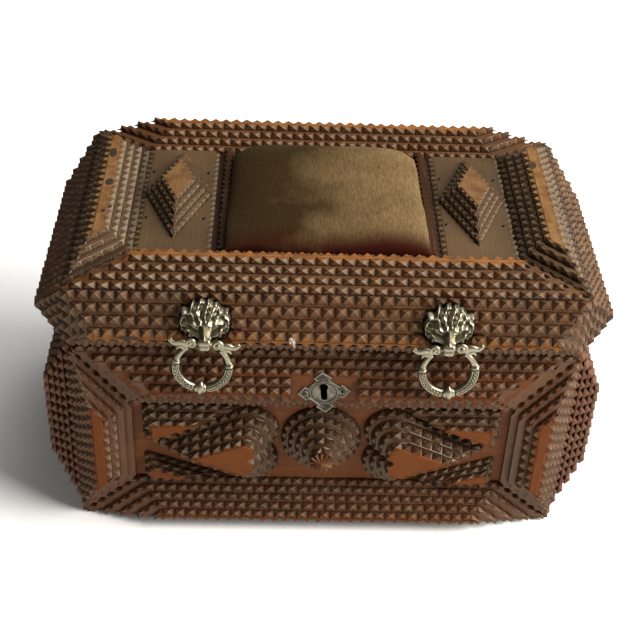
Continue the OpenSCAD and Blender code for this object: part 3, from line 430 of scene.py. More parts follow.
def plain_board(name, tint, grain=(1, 14, 14)):
    """Old softwood board, planed and darkened: straight grain, dull, with handling marks."""
    woods = bpy.context.scene.box_woods
    faded, wear = 0.55, 0.4
    material, tree, shader = new_material(name)
    places = add_node(tree, "ShaderNodeTexCoord", output="Object")
    fibres = noise_value(tree, places, size_mm=26, detail=5.0, stretch=grain, low=0.3, high=0.7)
    patches = noise_value(tree, places, size_mm=45)
    lined = add_node(tree, "ShaderNodeMix", COLOURS,
                     {FACTOR: fibres, FIRST: tint, SECOND: tuple(woods.grime_and_shade)}, MIXED)
    softened = add_node(tree, "ShaderNodeMix", COLOURS, {FACTOR: faded, FIRST: lined, SECOND: tint}, MIXED)
    handled = add_node(tree, "ShaderNodeMath", PRODUCT, {0: patches, 1: wear}, "Value")
    worn = add_node(tree, "ShaderNodeMix", COLOURS,
                    {FACTOR: handled, FIRST: softened, SECOND: tuple(woods.stain_light)}, MIXED)
    relief = add_node(tree, "ShaderNodeBump", None,
                      {"Height": fibres, "Strength": 0.5, "Distance": 0.15 * MM}, "Normal")
    fill_inputs(tree, shader, {"Base Color": worn, "Roughness": 0.65, "Specular IOR Level": 0.15,
                               "Normal": relief})
    return material


def crushed_velvet(velvet):
    """Cotton velvet, crushed and faded: soft streaks of pile, bright tips at grazing angles, worn front, and
    painted shade darker towards the left.

    The tufts are drawn at 0.9 mm, coarser than real pile, so that they show.
    """
    cloud_share, streak_share, pile_share = 0.5, 0.4, 0.3
    crush_and_shade, front_wear = 0.92, 0.45
    nap = tuple(velvet.pile_dark)
    material, tree, shader = new_material("crushed_velvet")
    places = add_node(tree, "ShaderNodeTexCoord", output="Object")
    shade, wear = (add_node(tree, "ShaderNodeAttribute", {"attribute_name": name}, output="Fac")
                   for name in ("shade", "wear"))
    clouds = noise_value(tree, places, size_mm=30, low=0.3, high=0.7)
    streaks = noise_value(tree, places, size_mm=2.2, stretch=(2.2, 0.5, 1), low=0.25, high=0.75)
    pile = noise_value(tree, places, size_mm=0.9, detail=2.0, stretch=(1, 0.6, 1), low=0.2, high=0.8)

    # Crushed patches and painted shade darker towards the left, then the streaks of the brushed pile
    clouded = add_node(tree, "ShaderNodeMath", PRODUCT, {0: clouds, 1: cloud_share}, "Value")
    shaded = add_node(tree, "ShaderNodeMath", SUM, {0: shade, 1: clouded}, "Value")
    crushed_and_shaded = add_node(tree, "ShaderNodeMath", PRODUCT, {0: shaded, 1: crush_and_shade}, "Value")
    base = add_node(tree, "ShaderNodeMix", COLOURS,
                    {FACTOR: crushed_and_shaded, FIRST: tuple(velvet.pile), SECOND: nap}, MIXED)
    long_lines = add_node(tree, "ShaderNodeMath", PRODUCT, {0: streaks, 1: streak_share}, "Value")
    fine_lines = add_node(tree, "ShaderNodeMath", PRODUCT, {0: pile, 1: pile_share}, "Value")
    lines = add_node(tree, "ShaderNodeMath", SUM, {0: long_lines, 1: fine_lines}, "Value")
    brushed = add_node(tree, "ShaderNodeMix", COLOURS, {FACTOR: lines, FIRST: base, SECOND: nap}, MIXED)

    # Pile worn down to its maroon ground along the front
    thinned = add_node(tree, "ShaderNodeMath", SUM, {0: clouds, 1: front_wear}, "Value")
    front = add_node(tree, "ShaderNodeMath", PRODUCT, {0: wear, 1: thinned}, "Value")
    worn = add_node(tree, "ShaderNodeMix", COLOURS,
                    {FACTOR: front, FIRST: brushed, SECOND: tuple(velvet.pile_worn)}, MIXED)

    # Half of the relief is fine pile, half is streaks
    fine, long = (add_node(tree, "ShaderNodeMath", PRODUCT, {0: part, 1: 0.5}, "Value")
                  for part in (pile, streaks))
    height = add_node(tree, "ShaderNodeMath", SUM, {0: fine, 1: long}, "Value")
    relief = add_node(tree, "ShaderNodeBump", None,
                      {"Height": height, "Strength": 0.7, "Distance": 0.35 * MM}, "Normal")
    fill_inputs(tree, shader, {"Base Color": worn, "Roughness": 1.0, "Specular IOR Level": 0.0,
                               "Sheen Weight": 0.12, "Sheen Roughness": 0.35,
                               "Sheen Tint": tuple(velvet.sheen), "Normal": relief})
    return material


def worn_metal(kind):
    """Old cast metal: rubbed bright on the high places, tarnished in the hollows, finely pitted."""
    metals = bpy.context.scene.box_metals
    name, face_tint, hollow_tint, roughness, spot_mm, dirt_share = METALS[kind]
    face, deep = tuple(getattr(metals, face_tint)), tuple(getattr(metals, hollow_tint))
    material, tree, shader = new_material(name)
    places = add_node(tree, "ShaderNodeTexCoord", output="Object")
    hollow = add_node(tree, "ShaderNodeAttribute", {"attribute_name": "hollow"}, output="Fac")
    spots = noise_value(tree, places, size_mm=spot_mm, detail=4.0, low=0.4, high=0.75)
    spotted = add_node(tree, "ShaderNodeMath", PRODUCT, {0: spots, 1: dirt_share}, "Value")
    dirt = add_node(tree, "ShaderNodeMath", SUM, {0: hollow, 1: spotted}, "Value")
    tone = add_node(tree, "ShaderNodeMix", COLOURS, {FACTOR: dirt, FIRST: face, SECOND: deep}, MIXED)
    rough = add_node(tree, "ShaderNodeMapRange", None,
                     {"Value": dirt, "To Min": roughness, "To Max": roughness + DIRT_ROUGHNESS}, "Result")
    relief = add_node(tree, "ShaderNodeBump", None,
                      {"Height": spots, "Strength": 0.5, "Distance": 0.06 * MM}, "Normal")
    fill_inputs(tree, shader, {"Base Color": tone, "Metallic": 1.0, "Roughness": rough, "Normal": relief})
    return material


def studio_floor(tint, fibre_tint):
    """Matt white paper sweep: even and pale, with a trace of its fibres."""
    fibre_share = 0.02
    material, tree, shader = new_material("studio_floor")
    places = add_node(tree, "ShaderNodeTexCoord", output="Object")
    fibres = noise_value(tree, places, size_mm=4)
    faint = add_node(tree, "ShaderNodeMath", PRODUCT, {0: fibres, 1: fibre_share}, "Value")
    tone = add_node(tree, "ShaderNodeMix", COLOURS, {FACTOR: faint, FIRST: tint, SECOND: fibre_tint}, MIXED)
    fill_inputs(tree, shader, {"Base Color": tone, "Roughness": 0.9})
    return material


MATERIALS = {}


def finish_of(name, make, *values):
    """Make a material once and hand it out after that."""
    if name not in MATERIALS:
        MATERIALS[name] = make(*values)
    return MATERIALS[name]


def cedar(kind):
    """One of the cedars."""
    return finish_of(f"{kind}_cedar", stained_cedar, kind)


def metal(kind):
    """One of the metals."""
    return finish_of(kind, worn_metal, kind)


# Notched layers

FACES = {
    "front": ((1, 0, 0), (0, 0, 1), (0, -1, 0)),
    "back": ((-1, 0, 0), (0, 0, 1), (0, 1, 0)),
    "left": ((0, -1, 0), (0, 0, 1), (-1, 0, 0)),
    "right": ((0, 1, 0), (0, 0, 1), (1, 0, 0)),
    "top": ((1, 0, 0), (0, 1, 0), (0, 0, 1)),
}

# Heights closer than LEVEL, in metres, are one level, and a layer under SMALLEST_LAYER, in square metres,
# is left out
LEVEL = 1e-5
SMALLEST_LAYER = 3e-5

# How a cut edge turns a corner: mitres and clefts reach so many depths at most
LONGEST_MITRE = 3.0
LONGEST_CLEFT = 1.1
SHARP_CORNER = math.radians(25)
GENTLE_TURN = 0.35
LEAST_TURN = 0.01

# Where the carver cut less, more or not at all
MITRE_SLANT = 0.2
MITRE_SHARE = 0.5
DEEP_SHARE = 1.42
UPRIGHT_SLANT = 0.1
PLAIN_POST_LAYERS = 2
KEYHOLE_SEAT = 16.5 * MM
FRONT_PITCH = 1.08

# Grime and painted shade on the middle of a tooth's facet, and the tone of a wall with painted shade
FACET_GRIME_AND_SHADE = 0.3
SHADED_WALL = -1.0


def trace_loops(triangles):
    """Outline loops of a set of triangles in one plane, outer loops anticlockwise and holes clockwise."""
    edges = set()
    for corners in triangles:
        keys = [(round(c.x, 6), round(c.y, 6)) for c in corners]
        edges.update(zip(keys, keys[1:] + keys[:1]))
    following = {a: b for a, b in edges if (b, a) not in edges}
    loops = []
    while following:
        start = min(following)
        loop = [start]
        here = following.pop(start)
        while here != start:
            loop.append(here)
            here = following.pop(here)
        loops.append([Vector(p) for p in loop])
    return loops


def signed_area(loop):
    """Area inside a loop, below 0 for a clockwise one."""
    return sum(a.x * b.y - b.x * a.y for a, b in zip(loop, loop[1:] + loop[:1])) / 2


def read_layers(node, axes):
    """Lower level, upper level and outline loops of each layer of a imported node, lowest layer first."""
    mesh = frame["nodes"][node].data
    points = [axes @ v.co for v in mesh.vertices]
    uppers = {}
    lowers = set()
    for face in mesh.polygons:
        corners = [points[i] for i in face.vertices]
        heights = [c.z for c in corners]
        if max(heights) - min(heights) > LEVEL:
            continue
        level = round(heights[0], 5)
        if (corners[1] - corners[0]).cross(corners[2] - corners[0]).z > 0:
            uppers.setdefault(level, []).append(corners)
        else:
            lowers.add(level)
    layers = []
    for level in sorted(uppers):
        loops = trace_loops(uppers[level])
        if sum(signed_area(loop) for loop in loops) > SMALLEST_LAYER:
            layers.append((max(low for low in lowers if low < level), level, loops))
    return layers


def split_runs(loop):
    """Stretches of a loop between sharp corners, as corner numbers; a round loop is one stretch."""
    count = len(loop)
    along = [loop[(i + 1) % count] - loop[i] for i in range(count)]
    sharp = [i for i in range(count) if abs(along[i - 1].angle_signed(along[i])) > SHARP_CORNER]
    if not sharp:
        return [list(range(count)) + [0]]
    following = sharp[1:] + [sharp[0] + count]
    return [[k % count for k in range(a, b + 1)] for a, b in zip(sharp, following)]


def run_length(loop, run):
    """Length of a stretch of a loop."""
    return sum((loop[b] - loop[a]).length for a, b in zip(run, run[1:]))


def trim_run(points, start, end):
    """Shorten a line of points at both ends."""
    for cut in (start, end):
        while len(points) > 2 and (points[1] - points[0]).length <= cut:
            cut -= (points[1] - points[0]).length
            points = points[1:]
        points = [points[0] + (points[1] - points[0]).normalized() * cut] + points[1:]
        points.reverse()
    return points


def inset_loop(loop, depths):
    """Move each edge of a loop inwards by its own depth."""
    normals = []
    for a, b in zip(loop, loop[1:] + loop[:1]):
        along = (b - a).normalized()
        normals.append(Vector((-along.y, along.x)))
    moved = []
    for i, corner in enumerate(loop):
        n0, n1 = normals[i - 1], normals[i]
        d0, d1 = depths[i - 1], depths[i]
        turn = n0.x * n1.y - n0.y * n1.x
        if abs(turn) < GENTLE_TURN and n0.dot(n1) > 0:
            shift = (n0 + n1).normalized() * (d0 + d1) / 2
        else:
            shift = Vector(((d0 * n1.y - d1 * n0.y) / turn, (n0.x * d1 - n1.x * d0) / turn))
        most = max(d0, d1) * (LONGEST_MITRE if turn > 0 else LONGEST_CLEFT)
        moved.append(corner + shift * min(1.0, most / max(shift.length, LEVEL)))
    return moved


def add_layer(bm, axes_back, low, high, loops, tops, bare):
    """A plate with its foot outlines at one level and its cut-back outlines at another; hole walls get
    painted shade.
    """
    tone_of = bm.verts.layers.float["bare"]
    crown_of = bm.verts.layers.float["crown"]
    rings = []
    for loop, level, tone in [(p, low, 0.0) for p in loops] + [(p, high, bare) for p in tops]:
        ring = [bm.verts.new(axes_back @ Vector((p.x, p.y, level))) for p in loop]
        for vert in ring:
            vert[tone_of] = tone
            vert[crown_of] = 1.0
        rings.append(ring)
    feet, crowns = rings[:len(loops)], rings[len(loops):]
    for k, (foot, top) in enumerate(zip(feet, crowns)):
        # Walls of holes get the tone of painted shade
        if k:
            foot, top = ([bm.verts.new(vert.co) for vert in ring] for ring in (foot, top))
            for vert in foot + top:
                vert[tone_of] = SHADED_WALL
        bridge(bm, foot, top)
    for outlines, verts, flip in ((loops, feet, True), (tops, crowns, False)):
        flat = [v for ring in verts for v in ring]
        for tri in geometry.tessellate_polygon([[Vector((p.x, p.y, 0)) for p in o] for o in outlines]):
            a, b, c = (flat[i] for i in tri)
            up = (b.co - a.co).cross(c.co - a.co).dot(axes_back @ Vector((0, 0, 1)))
            if (up < 0) != flip:
                b, c = c, b
            bm.faces.new((a, b, c))


def group_loops(loops):
    """Pair each outer loop with the holes inside it."""
    groups = [[loop] for loop in loops if signed_area(loop) > 0]
    for hole in (loop for loop in loops if signed_area(loop) < 0):
        for group in groups:
            xs = [p.x for p in group[0]]
            ys = [p.y for p in group[0]]
            if min(xs) < hole[0].x < max(xs) and min(ys) < hole[0].y < max(ys):
                group.append(hole)
                break
    return groups


def new_tooth():
    """One tooth between two notches: its point is at the layer's upper edge, flat in front and on top."""
    bm = bmesh.new()
    rim = bm.verts.layers.float.new("rim")
    hollow = bm.verts.layers.float.new("hollow")
    crown = bm.verts.layers.float.new("crown")
    corners = [Vector(p) for p in ((-0.5, 0, 0), (0.5, 0, 0), (0.5, 1, 1), (-0.5, 1, 1))]
    point = Vector((0, 0, 1))
    for i, (a, b) in enumerate(zip(corners, corners[1:] + corners[:1])):
        middle = bm.verts.new((a + b + point) / 3)
        facet = [bm.verts.new(p) for p in (a, b, point)]
        # Grime and painted shade gather towards the foot of each facet
        middle[hollow] = FACET_GRIME_AND_SHADE
        # Each facet's edges are marked for rubbed wear and a painted highlight
        for vert in facet:
            vert[rim] = 1.0
            vert[hollow] = 0.0 if vert is facet[2] else 1.0
        for vert in facet + [middle]:
            vert[crown] = 1.0 if i == 2 else 0.0
        for p, q in zip(facet, facet[1:] + facet[:1]):
            bm.faces.new((p, q, middle))
    bm.faces.new([bm.verts.new(p) for p in reversed(corners)])
    return new_piece("notch_tooth", bm, cedar("lid"))


NOTCH_INPUTS = {"Geometry": "Geometry", "Layers": "Object", "Tooth": "Object", "Pitch": "Float",
                "Height": "Float", "Outward": "Vector", "Unevenness": "Float", "Seed": "Int",
                "Wood": "Material"}


def notch_tree():
    """Geometry Nodes that set teeth side by side along every rail, then join them to the layers."""
    tree = bpy.data.node_groups.new("notched_edges", "GeometryNodeTree")
    sockets = {}
    for name, kind in NOTCH_INPUTS.items():
        socket = tree.interface.new_socket(name, in_out="INPUT", socket_type=f"NodeSocket{kind}")
        sockets[name] = socket.identifier
    tree.interface.new_socket("Geometry", in_out="OUTPUT", socket_type="NodeSocketGeometry")
    given = add_node(tree, "NodeGroupInput").outputs

    # Each rail cut into steps of one pitch, with a point in the middle of each
    curve = add_node(tree, "GeometryNodeMeshToCurve", None, {"Mesh": given["Geometry"]}, "Curve")
    steps = add_node(tree, "GeometryNodeResampleCurve", {"mode": "LENGTH"},
                     {"Curve": curve, "Length": given["Pitch"]}, "Curve")
    rails = add_node(tree, "GeometryNodeCurveToMesh", None, {"Curve": steps}, "Mesh")
    ends = add_node(tree, "GeometryNodeInputMeshEdgeVertices").outputs
    span = add_node(tree, "ShaderNodeVectorMath", {"operation": "DISTANCE"},
                    {0: ends["Position 1"], 1: ends["Position 2"]}, "Value")
    measured = add_node(tree, "GeometryNodeStoreNamedAttribute", {"data_type": "FLOAT", "domain": "EDGE"},
                        {"Name": "width", "Geometry": rails, "Value": span}, "Geometry")
    places = add_node(tree, "GeometryNodeMeshToPoints", {"mode": "EDGES"}, {"Mesh": measured}, "Points")

    # Each tooth as wide as its step, as deep as its cut and a little uneven in height
    inward = add_node(tree, "GeometryNodeInputNamedAttribute", {"data_type": "FLOAT_VECTOR"},
                      {"Name": "inward"}, "Attribute")
    width, reach = (add_node(tree, "GeometryNodeInputNamedAttribute", {"data_type": "FLOAT"},
                             {"Name": name}, "Attribute") for name in ("width", "reach"))
    turn = add_node(tree, "FunctionNodeAxesToRotation", {"primary_axis": "Z", "secondary_axis": "Y"},
                    {"Primary Axis": given["Outward"], "Secondary Axis": inward}, "Rotation")
    least = add_node(tree, "ShaderNodeMath", {"operation": "SUBTRACT"},
                     {0: 1.0, 1: given["Unevenness"]}, "Value")
    cut = add_node(tree, "FunctionNodeRandomValue", {"data_type": "FLOAT"},
                   {"Min": least, "Max": 1.0, "Seed": given["Seed"]}, "Value")
    height = add_node(tree, "ShaderNodeMath", {"operation": "MULTIPLY"},
                      {0: given["Height"], 1: cut}, "Value")
    size = add_node(tree, "ShaderNodeCombineXYZ", None, {"X": width, "Y": reach, "Z": height}, "Vector")
    tooth = add_node(tree, "GeometryNodeObjectInfo", None, {"Object": given["Tooth"]}, "Geometry")
    row = add_node(tree, "GeometryNodeInstanceOnPoints", None,
                   {"Points": places, "Instance": tooth, "Rotation": turn, "Scale": size}, "Instances")

    # Each tooth stained a little lighter or darker, then all joined to the layers
    tone = add_node(tree, "FunctionNodeRandomValue", {"data_type": "FLOAT"},
                    {"Min": 0.0, "Max": 1.0, "Seed": given["Seed"]}, "Value")
    toned = add_node(tree, "GeometryNodeStoreNamedAttribute", {"data_type": "FLOAT", "domain": "INSTANCE"},
                     {"Name": "tone", "Geometry": row, "Value": tone}, "Geometry")
    plates = add_node(tree, "GeometryNodeObjectInfo", None, {"Object": given["Layers"]}, "Geometry")
    joined = add_node(tree, "GeometryNodeJoinGeometry")
    for part in (toned, plates):
        tree.links.new(part, joined.inputs["Geometry"])
    real = add_node(tree, "GeometryNodeRealizeInstances", None,
                    {"Geometry": joined.outputs["Geometry"]}, "Geometry")
    wood = add_node(tree, "GeometryNodeSetMaterial", None,
                    {"Geometry": real, "Material": given["Wood"]}, "Geometry")
    add_node(tree, "NodeGroupOutput", None, {"Geometry": wood})
    return tree, sockets


NOTCH_TOOLS = {}


def notch_tools():
    """The tooth and the node tree, made once."""
    if not NOTCH_TOOLS:
        NOTCH_TOOLS["tooth"] = new_tooth()
        NOTCH_TOOLS["tree"], NOTCH_TOOLS["sockets"] = notch_tree()
    return NOTCH_TOOLS


def add_run(rails, axes_back, loop, run, depth, level, bare):
    """A line of edges for the teeth to follow along a stretch of a loop, which stores the way inwards."""
    closed = run[0] == run[-1]
    points = [loop[i] for i in run]
    if not closed:
        count = len(loop)
        before, after = loop[run[0]] - loop[run[0] - 1], loop[(run[-1] + 1) % count] - loop[run[-1]]
        points = trim_run(points, corner_trim(before, points[1] - points[0], depth),
                          corner_trim(points[-1] - points[-2], after, depth))
    inward = rails.verts.layers.float_vector["inward"]
    tone = rails.verts.layers.float["bare"]
    reach = rails.verts.layers.float["reach"]
    verts = []
    last = len(points) - 1
    for i, point in enumerate(points[:-1] if closed else points):
        behind = points[i - 1 if i else (-2 if closed else 0)]
        along = points[min(i + 1, last)] - behind
        vert = rails.verts.new(axes_back @ Vector((point.x, point.y, level)))
        vert[inward] = axes_back @ Vector((-along.y, along.x, 0)).normalized()
        vert[tone] = bare
        vert[reach] = depth
        verts.append(vert)
    for a, b in zip(verts, verts[1:] + (verts[:1] if closed else [])):
        rails.edges.new((a, b))


def corner_trim(before, after, depth):
    """How far a row of teeth stops short of a sharp corner, so that none pokes through the next edge."""
    turn = before.angle_signed(after)
    inside = math.pi + turn
    if abs(turn) < LEAST_TURN or inside >= math.pi / 2:
        return 0.0
    return depth / math.tan(inside)


def all_edges(a, b, layer):
    """Notch every edge to the full depth."""
    return 1.0


def mitred(a, b, layer):
    """Notch mitred ends less deeply, because the layers step back less there."""
    span = b - a
    slant = min(abs(span.x), abs(span.y)) / max(abs(span.x), abs(span.y))
    return MITRE_SHARE if slant > MITRE_SLANT else 1.0


def deep_top(a, b, layer):
    """Notch the upper edges more deeply, because the layers step back further there."""
    return DEEP_SHARE if a.x - b.x > abs(a.y - b.y) else 1.0


def long_edges(a, b, layer):
    """Keep the ends of a strip that runs away from the front plain."""
    return 0.0 if abs(a.x - b.x) > abs(a.y - b.y) else 1.0


def round_keyhole(a, b, layer):
    """Leave the seat of the keyhole plate plain."""
    return 0.0 if abs(a.x) < KEYHOLE_SEAT and abs(b.x) < KEYHOLE_SEAT else mitred(a, b, layer)


def post_edges(a, b, layer):
    """Leave the two lowest layers of a post plain on the side of the recess."""
    lo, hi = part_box("base_left_bar")
    upright = abs(a.x - b.x) < UPRIGHT_SLANT * abs(a.y - b.y)
    inner = min(abs(a.x), abs(b.x)) < -(lo.x + hi.x) / 2 and upright
    return 0.0 if layer < PLAIN_POST_LAYERS and inner else mitred(a, b, layer)


def cut_layers(layers, axes_back, depth, edge_share, tones):
    """Plates with their upper edges cut back, and rails for the teeth to follow, as two bmeshes."""
    sizes = bpy.context.scene.box_notches
    plates, rails = bmesh.new(), bmesh.new()
    for name in ("bare", "crown"):
        plates.verts.layers.float.new(name)
    rails.verts.layers.float_vector.new("inward")
    for name in ("bare", "reach"):
        rails.verts.layers.float.new(name)
    for number, (low, high, loops) in enumerate(layers):
        bare = tones.get(number, 0.0)
        for group in group_loops(loops):
            outer = group[0]
            cuts = [0.0] * len(outer)
            for run in split_runs(outer):
                if run_length(outer, run) > sizes.shortest:
                    for i in run[:-1]:
                        cuts[i] = depth * edge_share(outer[run[0]], outer[run[-1]], number)
            top = inset_loop(outer, [max(cut - sizes.valley, 0.0) for cut in cuts])
            add_layer(plates, axes_back, low, high, group, [top] + group[1:], bare)
            for run in split_runs(outer):
                if cuts[run[0]]:
                    add_run(rails, axes_back, outer, run, cuts[run[0]], low, bare)
    return plates, rails


def set_teeth(tools, rail_piece, inputs):
    """Run the notch tree along the rails, and hand back its mesh without the rails' own values."""
    modifier = rail_piece.modifiers.new("notches", "NODES")
    modifier.node_group = tools["tree"]
    for name, value in inputs.items():
        modifier[tools["sockets"][name]] = value
    graph = bpy.context.evaluated_depsgraph_get()
    mesh = bpy.data.meshes.new_from_object(rail_piece.evaluated_get(graph))
    for name in ("inward", "width", "reach"):
        if name in mesh.attributes:
            mesh.attributes.remove(mesh.attributes[name])
    return mesh


def notch_node(node, face, grain_up=False, depth_share=1.0, pitch_share=1.0, edge_share=all_edges,
               bare_top=1.0, bare_foot=0.0, bare_layers=None, wood=None, slot="carved_wood"):
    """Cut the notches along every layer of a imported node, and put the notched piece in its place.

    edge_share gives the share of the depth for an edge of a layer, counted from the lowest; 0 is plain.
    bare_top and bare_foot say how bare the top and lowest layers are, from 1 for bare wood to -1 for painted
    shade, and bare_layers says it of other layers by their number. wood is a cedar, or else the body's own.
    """
    sizes = bpy.context.scene.box_notches
    tools = notch_tools()
    axes = Matrix(FACES[face])
    axes_back = axes.transposed()
    layers = read_layers(node, axes)
    tones = {0: bare_foot, len(layers) - 1: bare_top, **(bare_layers or {})}
    plates, rails = cut_layers(layers, axes_back, sizes.depth * depth_share, edge_share, tones)
    body = body_of_node(node)
    finish = cedar(wood or body)
    plate_piece = new_piece(node + "_plates", plates, finish)
    rail_piece = new_piece(node + "_rails", rails, finish)
    mesh = set_teeth(tools, rail_piece, {
        "Layers": plate_piece,
        "Tooth": tools["tooth"],
        "Pitch": sizes.pitch * pitch_share,
        "Height": layers[0][1] - layers[0][0],
        "Outward": tuple(axes_back @ Vector((0, 0, 1))),
        "Unevenness": sizes.unevenness,
        "Seed": sizes.seed + len(node),
        "Wood": finish,
    })
    for helper in (rail_piece, plate_piece):
        bpy.data.objects.remove(helper)
    add_grain(mesh, axes, grain_up)
    piece = bpy.data.objects.new(node + "_carved", mesh)
    bpy.context.scene.collection.objects.link(piece)
    finish_piece(piece, body, slot, node)


def add_grain(mesh, axes, grain_up):
    """Store each point's place along and across the grain."""
    grain = mesh.attributes.new("grain", "FLOAT_VECTOR", "POINT")
    values = []
    for vert in mesh.vertices:
        p = axes @ vert.co
        values.extend((p.y, p.x, p.z) if grain_up else (p.x, p.y, p.z))
    grain.data.foreach_set("vector", values)


class TRAMPBOX_OT_layers(bpy.types.Operator):
    """Notch the stepped layers of the frames, sides and back"""
    bl_idname = "trampbox.layers"
    bl_label = "Notched Layers"

    def execute(self, context):
        notch_node("base_bottom_bar", "front", edge_share=mitred)
        notch_node("lid_front_stack", "front", pitch_share=FRONT_PITCH, edge_share=deep_top)
        notch_node("base_top_bar", "front", edge_share=round_keyhole, bare_layers={2: 0.8})
        for node in ("base_left_bar", "base_right_bar"):
            notch_node(node, "front", grain_up=True, edge_share=post_edges)
        for node in ("base_back_stack", "lid_back_stack"):
            notch_node(node, "back")
        for side in ("left", "right"):
            notch_node(f"base_{side}_stack", side, bare_top=0.2, wood="side")
            notch_node(f"lid_{side}_stack", side)
            # The side bars' lowest layer is darkened as painted shade beside the panels
            notch_node(f"top_{side}_bar", "top", grain_up=True, edge_share=mitred, bare_foot=-0.8,
                       wood="dusty")
        notch_node("top_front_bar", "top", pitch_share=FRONT_PITCH, edge_share=mitred)
        notch_node("top_back_bar", "top", edge_share=mitred)
        return {"FINISHED"}


BOSS_PETALS = 12
BOSS_R = 6.0
BOSS_WAIST = 0.93
BOSS_RIDGE = 0.62
BOSS_VALLEY = 0.1


class TRAMPBOX_OT_ornaments(bpy.types.Operator):
    """Notch the hearts, the rosette and the corner pieces on the front"""
    bl_idname = "trampbox.ornaments"
    bl_label = "Front Ornaments"

    def execute(self, context):
        for node in ("left_heart", "right_heart"):
            notch_node(node, "front", depth_share=0.8, wood="aged")
        notch_node("rosette", "front", depth_share=0.8, bare_top=0.4, wood="aged")
        finish_piece(self.boss(), "base", "carved_wood")
        for side in ("left", "right"):
            notch_node(f"upper_{side}_corner", "front", depth_share=0.9, wood="aged")
            notch_node(f"lower_{side}_corner", "front", depth_share=0.65, pitch_share=0.9, wood="aged")
        return {"FINISHED"}

    def boss(self):
        """The button in the middle of the rosette, cut into petals with a sharp ridge each."""
        lo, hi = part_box("rosette")
        seat = -read_layers("rosette", Matrix(FACES["front"]))[-1][1]
        middle = Vector(((lo.x + hi.x) / 2, seat, (lo.z + hi.z) / 2))
        reach, tall = BOSS_R * MM, seat - lo.y
        bm = bmesh.new()
        layers = {name: bm.verts.layers.float.new(name) for name in ("rim", "hollow", "bare", "crown")}

        def point(r, step, height, **values):
            """A point of the button; each petal takes two steps round it."""
            angle = math.pi * step / BOSS_PETALS
            vert = bm.verts.new(middle + Vector((r * math.cos(angle), -height, r * math.sin(angle))))
            for name, value in values.items():
                vert[layers[name]] = value
            return vert

        for k in range(BOSS_PETALS):
            for side in (-1, 1):
                tip = point(0, 0, tall, rim=1.0, bare=1.0, crown=1.0)
                ridge = point(reach, 2 * k, tall * BOSS_RIDGE, rim=1.0, bare=1.0, crown=1.0)
                valley = point(reach * BOSS_WAIST, 2 * k + side, tall * BOSS_VALLEY, hollow=1.0)
                foot = point(reach, 2 * k, 0, hollow=1.0)
                bm.faces.new((tip, ridge, valley) if side > 0 else (tip, valley, ridge))
                bm.faces.new((ridge, foot, valley) if side > 0 else (ridge, valley, foot))
        bm.faces.new([point(reach * (1.0 if step % 2 == 0 else BOSS_WAIST), step, 0)
                      for step in reversed(range(2 * BOSS_PETALS))])
        bmesh.ops.recalc_face_normals(bm, faces=bm.faces)
        return new_piece("rosette_boss", bm, cedar("base"))


class TRAMPBOX_OT_lid_field(bpy.types.Operator):
    """Notch the panels, strips and diamonds beside the cushion"""
    bl_idname = "trampbox.lid_field"
    bl_label = "Lid Field"

    def execute(self, context):
        for side in ("left", "right"):
            notch_node(f"{side}_diamond", "top", grain_up=True, depth_share=0.55, pitch_share=0.75,
                       bare_top=0.7, wood="dusty")
            notch_node(f"{side}_field_panel", "top", grain_up=True, depth_share=0.9, pitch_share=0.85,
                       edge_share=long_edges, bare_top=0.0, wood="field", slot="field_wood")
            # The strips' tops are darkened as painted shade beside the cushion
            notch_node(f"{side}_cushion_strip", "top", grain_up=True, depth_share=0.45, pitch_share=0.8,
                       edge_share=long_edges, bare_top=-0.8, slot="field_wood")
        return {"FINISHED"}


# Old marks on the wood, each with its place and its half width and height in millimetres

RIDGE_STAINS = ((-111.8, 33.0, 2.0, 4.6), (-110.8, 3.7, 2.3, 3.2), (-110.6, -23.1, 1.2, 1.5),
                (-107.6, -19.2, 0.9, 1.1), (110.1, 31.2, 2.0, 3.4))
FRONT_STAINS = ((-93.2, 127.2, 4.2, 0.9),)
PAINT_FLECKS = ((-16.5, 128.2, 1.1, 1.2), (-15.5, 126.6, 0.6, 2.4), (-17.2, 127.0, 0.4, 1.6),
                (-15.2, 124.4, 0.4, 1.2))
BLOT_CORNERS = 14
BLOT_THICK = 0.04
BLOT_WANDER = 0.35
BLOT_VARIETY = 900


class TRAMPBOX_OT_marks(bpy.types.Operator):
    """Lay the dark stains on the bare ridges and the fleck of paint on the lid"""
    bl_idname = "trampbox.marks"
    bl_label = "Old Marks"

    def execute(self, context):
        woods = context.scene.box_woods
        stain = finish_of("mark", plain_board, "dark_mark", tuple(woods.mark))
        paint = finish_of("paint", plain_board, "paint_fleck", tuple(woods.paint))
        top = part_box("top_left_bar")[1].z
        bm = bmesh.new()
        for x, y, across, along in RIDGE_STAINS:
            self.blot(bm, Vector((x * MM, y * MM, top)), Vector((across, 0, 0)), Vector((0, along, 0)))
        self.front_blots(bm, FRONT_STAINS)
        finish_piece(new_piece("ridge_marks", bm, stain), "lid", "carved_wood")
        bm = bmesh.new()
        self.front_blots(bm, PAINT_FLECKS)
        finish_piece(new_piece("paint_fleck", bm, paint), "lid", "carved_wood")
        return {"FINISHED"}

    def front_blots(self, bm, marks):
        """Patches on the lid's front."""
        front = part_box("lid_front_stack")[0].y
        for x, z, across, along in marks:
            self.blot(bm, Vector((x * MM, front, z * MM)), Vector((across, 0, 0)), Vector((0, 0, along)))

    def blot(self, bm, middle, across, along):
        """A thin uneven patch that lies on a flat face."""
        outward = across.cross(along).normalized() * BLOT_THICK * MM
        ring = []
        for step in range(BLOT_CORNERS):
            angle = math.tau * step / BLOT_CORNERS
            way = Vector((math.cos(angle), math.sin(angle), 0))
            wander = 1 + BLOT_WANDER * noise.noise(middle * BLOT_VARIETY + way)
            corner = (across * math.cos(angle) + along * math.sin(angle)) * wander * MM
            ring.append(middle + corner)
        lower = [bm.verts.new(p) for p in ring]
        upper = [bm.verts.new(p + outward) for p in ring]
        bm.faces.new(upper)
        bm.faces.new(list(reversed(lower)))
        bridge(bm, lower, upper)


# Pincushion

